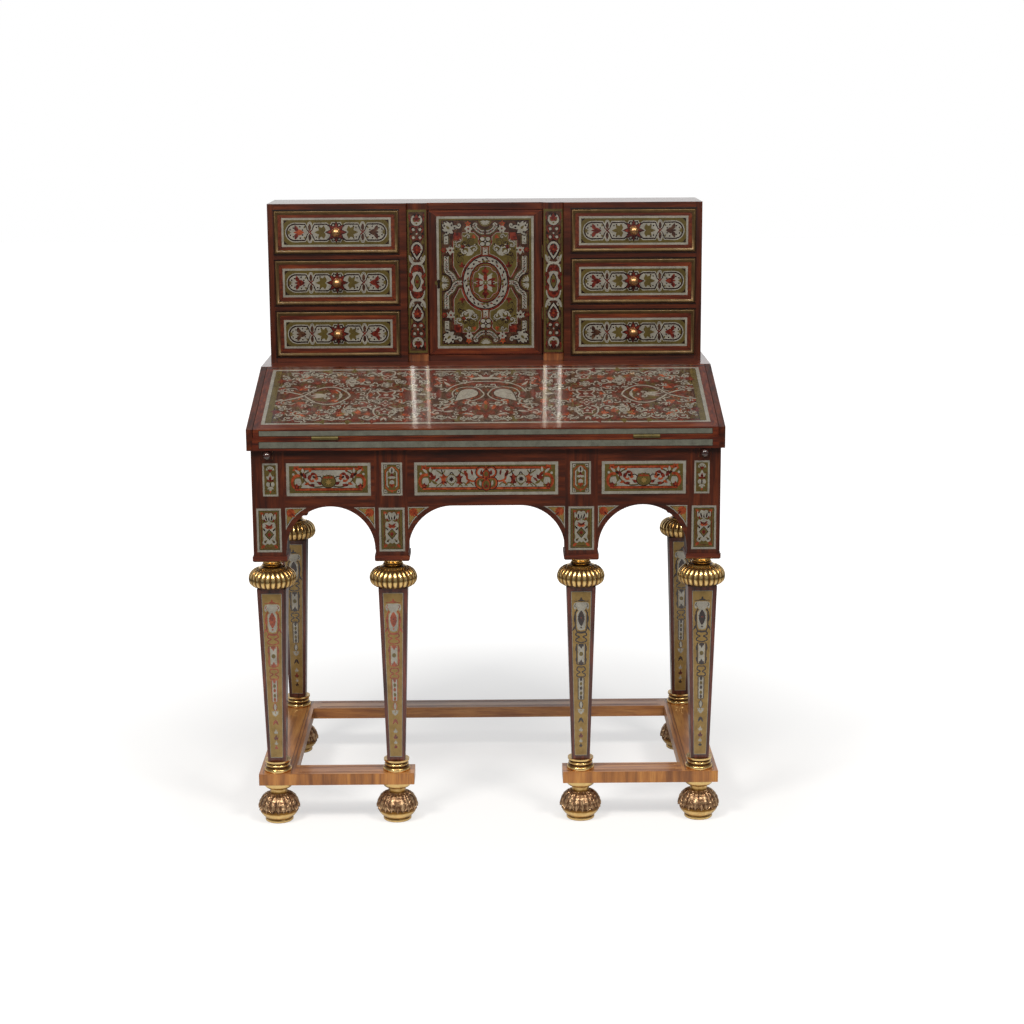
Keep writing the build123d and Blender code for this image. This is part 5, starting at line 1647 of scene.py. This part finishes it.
@dataclass
class Stand:
    """Legs, capitals, rings, stretchers and feet; sizes in millimetres."""

    outer: float = 404.0
    inner: float = 176.5
    front: float = 213.5
    leg_middle: float = 291.7
    leg_half: float = 22.1
    leg_lean: Place = (0.0, -10.25, 340.0)
    leg_taper: float = 0.00152
    capital_foot: float = 462.0
    stretcher_top: float = 99.5
    stretcher_level: float = 88.25
    stretcher_face: float = 240.5
    stretcher_side: float = 438.0
    banding_half: float = 11.1
    gadroons: int = 26
    # how far the turned capital lies under the crests of its gadroons
    gadroon_sunk: float = 2.2
    leaves: int = 10

    def __post_init__(self) -> None:
        """Work out where the six legs stand."""
        self.centres = [(sx * self.outer, sy * self.front) for sx in (-1, 1) for sy in (-1, 1)]
        self.centres += [(sx * self.inner, -self.front) for sx in (-1, 1)]

    def build(self, finishes: Finishes) -> None:
        """Dress the stand, and turn and carve its gilded work."""
        dress(finishes.leg_wood, *(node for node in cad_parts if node.startswith(("leg_front", "leg_back"))))
        dress(finishes.walnut_y, "stretcher_side_left", "stretcher_side_right")
        dress(finishes.walnut_x, "stretcher_front", "stretcher_back")
        self.panels(finishes)
        self.stretchers(finishes)
        rings = Rings()
        self.capitals(rings, finishes)
        self.base_rings(finishes)
        self.feet(rings, finishes)

    def panels(self, finishes: Finishes) -> None:
        """Lay the tapering panels of the legs' front faces, with vermilion straps on the two front left legs."""
        panels = Marquetry()
        for x, y in self.centres:
            face = Face((x, y - self.leg_half, self.leg_middle), up=self.leg_lean, taper=self.leg_taper)
            panels.lay(leg_design(V if x < 0 and y < 0 else E), face.at)
        panels.piece("leg_marquetry", "carcase", finishes)

    def stretchers(self, finishes: Finishes) -> None:
        """Lay the crossbanding of the stretchers' edges and the dark strings of their tops."""
        veneers = Marquetry()
        # middle and half sizes of each stretcher's top
        for x, y, half_x, half_y in (
            (-256.0, -213.5, 114.0, 27.0), (256.0, -213.5, 114.0, 27.0), (0.0, 213.5, 370.0, 27.0),
            (-404.0, 0.0, 34.0, 240.5), (404.0, 0.0, 34.0, 240.5),
        ):
            string = Drawing()
            for inset in (7.0, 13.0):
                a, b = half_x - inset, half_y - inset
                string.band([(-a, -b), (a, -b), (a, b), (-a, b)], 1.2, Inlay.PLUM, closed=True)
            veneers.lay(string, Face((x, y, self.stretcher_top), up=(0.0, 1.0, 0.0)).at)
        for _, sign in SIDES:
            for x, y, half, across in (
                (256.0, -self.stretcher_face, 114.0, (1.0, 0.0, 0.0)),
                (self.outer, -self.stretcher_face, 33.8, (1.0, 0.0, 0.0)),
                (self.stretcher_side, 0.0, 240.3, (0.0, sign, 0.0)),
            ):
                edge = Drawing()
                edge.rectangle(half, self.banding_half, Inlay.WALNUT)
                veneers.lay(edge, Face((sign * x, y, self.stretcher_level), across).at)
        veneers.piece("stretcher_banding", "carcase", finishes)

    def turned(self, name: str, profile: Sequence[Place], foot: float, node: str, finish: Material) -> None:
        """Turn one profile on all six legs, at the level of its foot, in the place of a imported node."""
        work = Carving()
        for x, y in self.centres:
            work.turn(profile, (x, y, foot))
        settle(name, work.mesh(name, finish), "carcase", 40.0, node)

    def capitals(self, rings: Rings, finishes: Finishes) -> None:
        """Turn the capitals and set their gadroons."""
        sunk = self.gadroon_sunk
        # the third figure of each point is its depth: painted shade in the coves, painted highlight on the rounds and
        # beads
        body = [(9.1, 0.0, 0.3), (31.0, 0.0, 0.3), *rounded((31.0, 16.0), (14.0 - sunk, 16.0), -90, 0, lambda t: 0.9)]
        body += rounded((24.0, 16.0), (21.0 - sunk, 21.0 - sunk), 0, 82, lambda t: 0.95)
        body += [(25.6, 35.6, 0.5), (25.6, 37.4, 0.1), (23.6, 38.4, 0.1), (19.0, 38.2, 0.8), (16.6, 39.4, 0.9)]
        body += [(17.0, 41.0, 0.7), (18.9, 41.6, 0.3), (19.3, 42.6, 0.1), (18.7, 43.5, 0.3), (17.0, 44.6, 0.55)]
        body += [(17.0, 46.6, 0.3), (18.4, 48.4, 0.2), (19.5, 50.0, 0.1), (19.5, 53.5, 0.3), (9.1, 53.5, 0.5)]
        self.turned("capital_cores", body, self.capital_foot, "leg_capitals", finishes.gilt)
        outline = [*arc((24.0, 16.0), (21.0, 21.0), 86, 0, 8), *arc((31.0, 16.0), (14.0, 16.0), -9, -76, 6)]
        one = Carving()
        one.sweep(self.lobe(outline, 180.0 / self.gadroons))
        places = [(x, y, self.capital_foot) for x, y in self.centres]
        sizes = {"Count": self.gadroons, "Unevenness": 0.02}
        mesh = rings.run("capital_gadroons", one.mesh("gadroon"), places, finishes.gilt, **sizes)
        settle("capital_gadroons", mesh, "carcase", 60.0, "leg_capitals")

    @staticmethod
    def slant(outline: Sequence[Point], i: int) -> Point:
        """The way out of an outline of radius and level at one of its points."""
        before, after = outline[max(i - 1, 0)], outline[min(i + 1, len(outline) - 1)]
        along = math.atan2(after[1] - before[1], after[0] - before[0])
        return -math.sin(along), math.cos(along)

    @staticmethod
    def spoke(foot: Point, out: Point, lift: float, turn: float, depth: float) -> tuple[float, float, float, float]:
        """A point lifted off an outline and turned round the axis by an angle in degrees, with its depth."""
        across, angle = foot[0] + out[0] * lift, math.radians(turn)
        return across * math.cos(angle), across * math.sin(angle), foot[1] + out[1] * lift, depth

    def lobe(self, outline: Sequence[Point], pitch: float) -> list[Ring]:
        """Rings of a gadroon: a ridge down an outline of radius and level, half a pitch wide in degrees each way."""
        rings = []
        for i, foot in enumerate(outline):
            out = self.slant(outline, i)
            swell = math.sqrt(max(1 - abs(2 * i / (len(outline) - 1) - 1) ** 5, 0.03))
            ring = []
            for s in (step / 3 for step in range(-3, 4)):
                lift = 2.9 * swell * math.sqrt(1 - 0.97 * s * s) - 2.9
                # the flanks of the ridge take more depth than its crest: painted shade between the gadroons, painted
                # highlight along them
                ring.append(self.spoke(foot, out, lift, pitch * s * (0.35 + 0.61 * swell), abs(s) ** 2.2 * 0.95))
            ring += [self.spoke(foot, out, -4.0, pitch * s * 0.3, 1.0) for s in (1, -1)]
            rings.append(ring)
        return rings

    def base_rings(self, finishes: Finishes) -> None:
        """Turn the moulded rings at the legs' feet."""
        # the third figure of each point is its depth: painted shade in the coves, painted highlight on the beads
        profile = [(9.1, 0.0, 0.5), (25.5, 0.0, 0.4), (26.2, 1.2, 0.1), (26.5, 3.5, 0.0), (26.1, 5.6, 0.1)]
        profile += [(25.0, 7.0, 0.4), (21.6, 7.8, 0.9), (20.6, 8.8, 0.95), (21.6, 9.8, 0.6), (22.9, 11.5, 0.1)]
        profile += [(23.2, 12.6, 0.0), (22.6, 14.0, 0.2), (20.8, 15.2, 0.85), (20.4, 16.6, 0.9), (21.4, 17.6, 0.5)]
        profile += [(24.2, 18.8, 0.1), (24.5, 19.8, 0.0), (24.5, 22.5, 0.2), (9.1, 22.5, 0.5)]
        self.turned("leg_base_mouldings", profile, self.stretcher_top, "leg_base_rings", finishes.gilt)

    def feet(self, rings: Rings, finishes: Finishes) -> None:
        """Turn the feet and set two rows of leaves round each."""
        # the third figure of each point is its depth: painted shade in the hollows, painted highlight on the rounds
        body = [(0.0, 0.0, 0.5), (25.0, 0.0, 0.5), (26.6, 1.2, 0.1), (27.0, 3.2, 0.0), (26.2, 5.2, 0.3)]
        body += [(25.6, 6.2, 0.9), (27.4, 8.0, 0.4), (31.0, 11.5, 0.1), (34.2, 15.4, 0.05), (36.0, 18.6, 0.2)]
        body += [(36.4, 20.6, 0.6), (36.4, 28.0, 0.9), *rounded((17.5, 28.0), (18.9, 25.0), 8, 84, lambda t: 0.95, 7)]
        body += [(17.6, 54.6, 0.8), (16.6, 57.0, 0.6), (16.5, 61.0, 0.25), (16.9, 64.0, 0.3), (20.0, 66.0, 0.6)]
        body += rounded((20.0, 73.6), (7.3, 7.6), -90, 0, lambda t: 0.5 - 0.5 * t, 6)
        body += [(27.3, 77.0, 0.1), (9.1, 77.0, 0.5), (9.1, 52.1, 0.5), (0.0, 52.1, 0.5)]
        self.turned("foot_cores", body, 0.0, "bun_feet", finishes.gilt)
        places = [(x, y, 0.0) for x, y in self.centres]
        for row, phase, low, proud in (("inner", 0.5, 22.5, 2.2), ("outer", 0.0, 24.5, 3.6)):
            outline = [(17.2, 54.6), *arc((17.5, 28.0), (18.7, 25.0), 80, -4, 17), (35.8, low)]
            one = Carving()
            one.sweep(self.acanthus(outline, 180.0 / self.leaves, proud))
            name = f"foot_leaves_{row}"
            sizes = {"Count": self.leaves, "Phase": phase * math.tau / self.leaves, "Unevenness": 0.1}
            mesh = rings.run(name, one.mesh("leaf"), places, finishes.worn_gilt, **sizes)
            settle(name, mesh, "carcase", 60.0, "bun_feet")

    def acanthus(self, outline: Sequence[Point], pitch: float, proud: float) -> list[Ring]:
        """Rings of a leaf that hangs down an outline, its edge notched into lobes, its tip turned out."""
        rings = []
        for i, foot in enumerate(outline):
            t, lobe, out = i / (len(outline) - 1), (1.0, 0.95, 0.55, 0.8)[i % 4], self.slant(outline, i)
            half = pitch * (0.5 + 0.5 * lobe) * (0.95 + 0.35 * math.sin(math.pi * t)) * math.sqrt(max(1 - t**6, 0.02))
            ring = []
            for step in range(-4, 5):
                s = abs(step) / 4
                swell = (0.15, 0.75, 0.25, 1.0, 0.45)[abs(step)] if step else 0.95
                lift = proud * swell * (0.45 + 0.55 * lobe) * (0.5 + 0.5 * t) + 1.4 * t**4 * (1 - s)
                # the leaf's low parts take more depth than its swells: painted shade between the lobes, painted
                # highlight on the swells
                ring.append(self.spoke(foot, out, lift, half * step / 4, 1.0 - 0.9 * swell * (0.35 + 0.65 * lobe)))
            ring += [self.spoke(foot, out, -1.6, half * s * 0.6, 1.0) for s in (1, -1)]
            rings.append(ring)
        return rings


# ------------------
# Studio
# ------------------
@dataclass(frozen=True)
class Softbox:
    """A soft lamp: where it stands, what it points at, its size and its power."""

    name: str
    place: Place
    target: Place
    width: float
    height: float
    watts: float
    colour: Place = (1.0, 0.96, 0.9)

    def build(self) -> None:
        """Hang the lamp."""
        lamp = bpy.data.lights.new(self.name, "AREA")
        lamp.shape, lamp.size, lamp.size_y, lamp.energy = "RECTANGLE", self.width, self.height, self.watts
        lamp.color = self.colour
        holder = bpy.data.objects.new(self.name, lamp)
        holder.location = self.place
        holder.rotation_euler = (Vector(self.target) - Vector(self.place)).to_track_quat("-Z", "Y").to_euler()
        bpy.context.scene.collection.objects.link(holder)


@dataclass
class Studio:
    """Camera, lamps, pale floor and white surround."""

    eye: Place = (0.01746, -4.02147, 1.38356)
    yaw: float = 0.00791
    pitch: float = 0.20258
    roll: float = -0.00559
    lens: float = 72.96
    floor_size: float = 30.0
    # strength of the room overhead and low down behind the desk
    room: tuple[float, float] = (0.26, 1.15)

    def build(self) -> None:
        """Set up everything that isn't the desk."""
        self.camera()
        for lamp in (
            Softbox("top_softbox", (0.0, -2.0, 4.3), (0.0, 0.0, 0.7), 1.6, 1.2, 40.0),
            Softbox("left_softbox", (-2.05, -3.0, 4.05), (0.0, 0.0, 0.8), 1.3, 1.0, 142.0),
            Softbox("right_softbox", (2.15, -3.0, 4.05), (0.0, 0.0, 0.8), 1.3, 1.0, 122.0),
        ):
            lamp.build()
        self.world()
        self.floor()
        bpy.context.scene.view_settings.view_transform = "Standard"

    def camera(self) -> None:
        """Stand the camera."""
        ahead = math.cos(self.pitch)
        forward = Vector((math.sin(self.yaw) * ahead, math.cos(self.yaw) * ahead, -math.sin(self.pitch)))
        level = Vector((math.cos(self.yaw), -math.sin(self.yaw), 0.0))
        upright = level.cross(forward)
        right = level * math.cos(self.roll) + upright * math.sin(self.roll)
        up = upright * math.cos(self.roll) - level * math.sin(self.roll)
        data = bpy.data.cameras.new("camera")
        data.lens, data.sensor_width, data.sensor_fit = self.lens, 36.0, "HORIZONTAL"
        camera = bpy.data.objects.new("camera", data)
        turn = Matrix((right, up, -forward)).transposed().to_quaternion()
        camera.matrix_world = Matrix.LocRotScale(self.eye, turn, None)
        bpy.context.scene.collection.objects.link(camera)
        bpy.context.scene.camera = camera

    def world(self) -> None:
        """Light the room softly, brightest low down behind the desk, and show it white."""
        world = bpy.data.worlds.new("studio")
        world.use_nodes = True
        room = Graph(world.node_tree, "Shader")
        rays = room.add("LightPath", {}, "Is Camera Ray")
        way = room.add("TexCoord", {}, "Generated")
        low = room.add("VectorMath", {0: way, 1: (0.0, 1.0, -2.6)}, "Value", operation="DOT_PRODUCT")
        dim, bright = self.room
        level = room.add("MapRange", {"Value": low, "From Min": -0.6, "From Max": 0.9, "To Min": dim, "To Max": bright})
        strength = room.add("MapRange", {"Value": rays, "To Min": level, "To Max": 1.0})
        room.feed(room.tree.nodes["Background"], {"Color": (1.0, 1.0, 1.0, 1.0), "Strength": strength})
        bpy.context.scene.world = world

    def floor(self) -> None:
        """Lay the pale floor, which looks white but keeps the desk's shadow."""
        shader = Shader("pale_floor")
        rays = shader.add("LightPath", {}, "Is Camera Ray")
        far = shader.add("VectorMath", {0: shader.place}, "Value", operation="LENGTH")
        fade = shader.add("MapRange", {"Value": far, "From Min": 0.6, "From Max": 1.5, "To Min": 0.6, "To Max": 0.97})
        glow = shader.add("Math", {0: rays, 1: fade}, operation="MULTIPLY")
        # pale round the desk, dark further off where the upright veneers would mirror it
        pale = shader.add("MapRange", {"Value": far, "From Min": 0.9, "From Max": 2.4, "To Min": 0.72, "To Max": 0.04})
        paint = shader.add("MapRange", {"Value": rays, "To Min": pale, "To Max": 0.38})
        white = {"Emission_Color": (1.0, 1.0, 1.0, 1.0), "Emission_Strength": glow}
        shader.finish(Base_Color=paint, Roughness=0.9, Specular_IOR_Level=0.1, **white)
        half = self.floor_size / 2
        mesh = bpy.data.meshes.new("floor")
        mesh.from_pydata([(-half, -half, 0), (half, -half, 0), (half, half, 0), (-half, half, 0)], [], [(0, 1, 2, 3)])
        mesh.materials.append(shader.material)
        floor = bpy.data.objects.new("floor", mesh)
        bpy.context.scene.collection.objects.link(floor)


def main() -> None:
    """Build the studio and the desk; each piece logs its face count as it is settled."""
    logging.basicConfig(level=logging.INFO, format="%(name)s: %(message)s")
    finishes = Finishes()
    Studio().build()
    for part in (Gradin(), WritingCase(), Stand()):
        part.build(finishes)


if __name__ == "__main__":
    main()
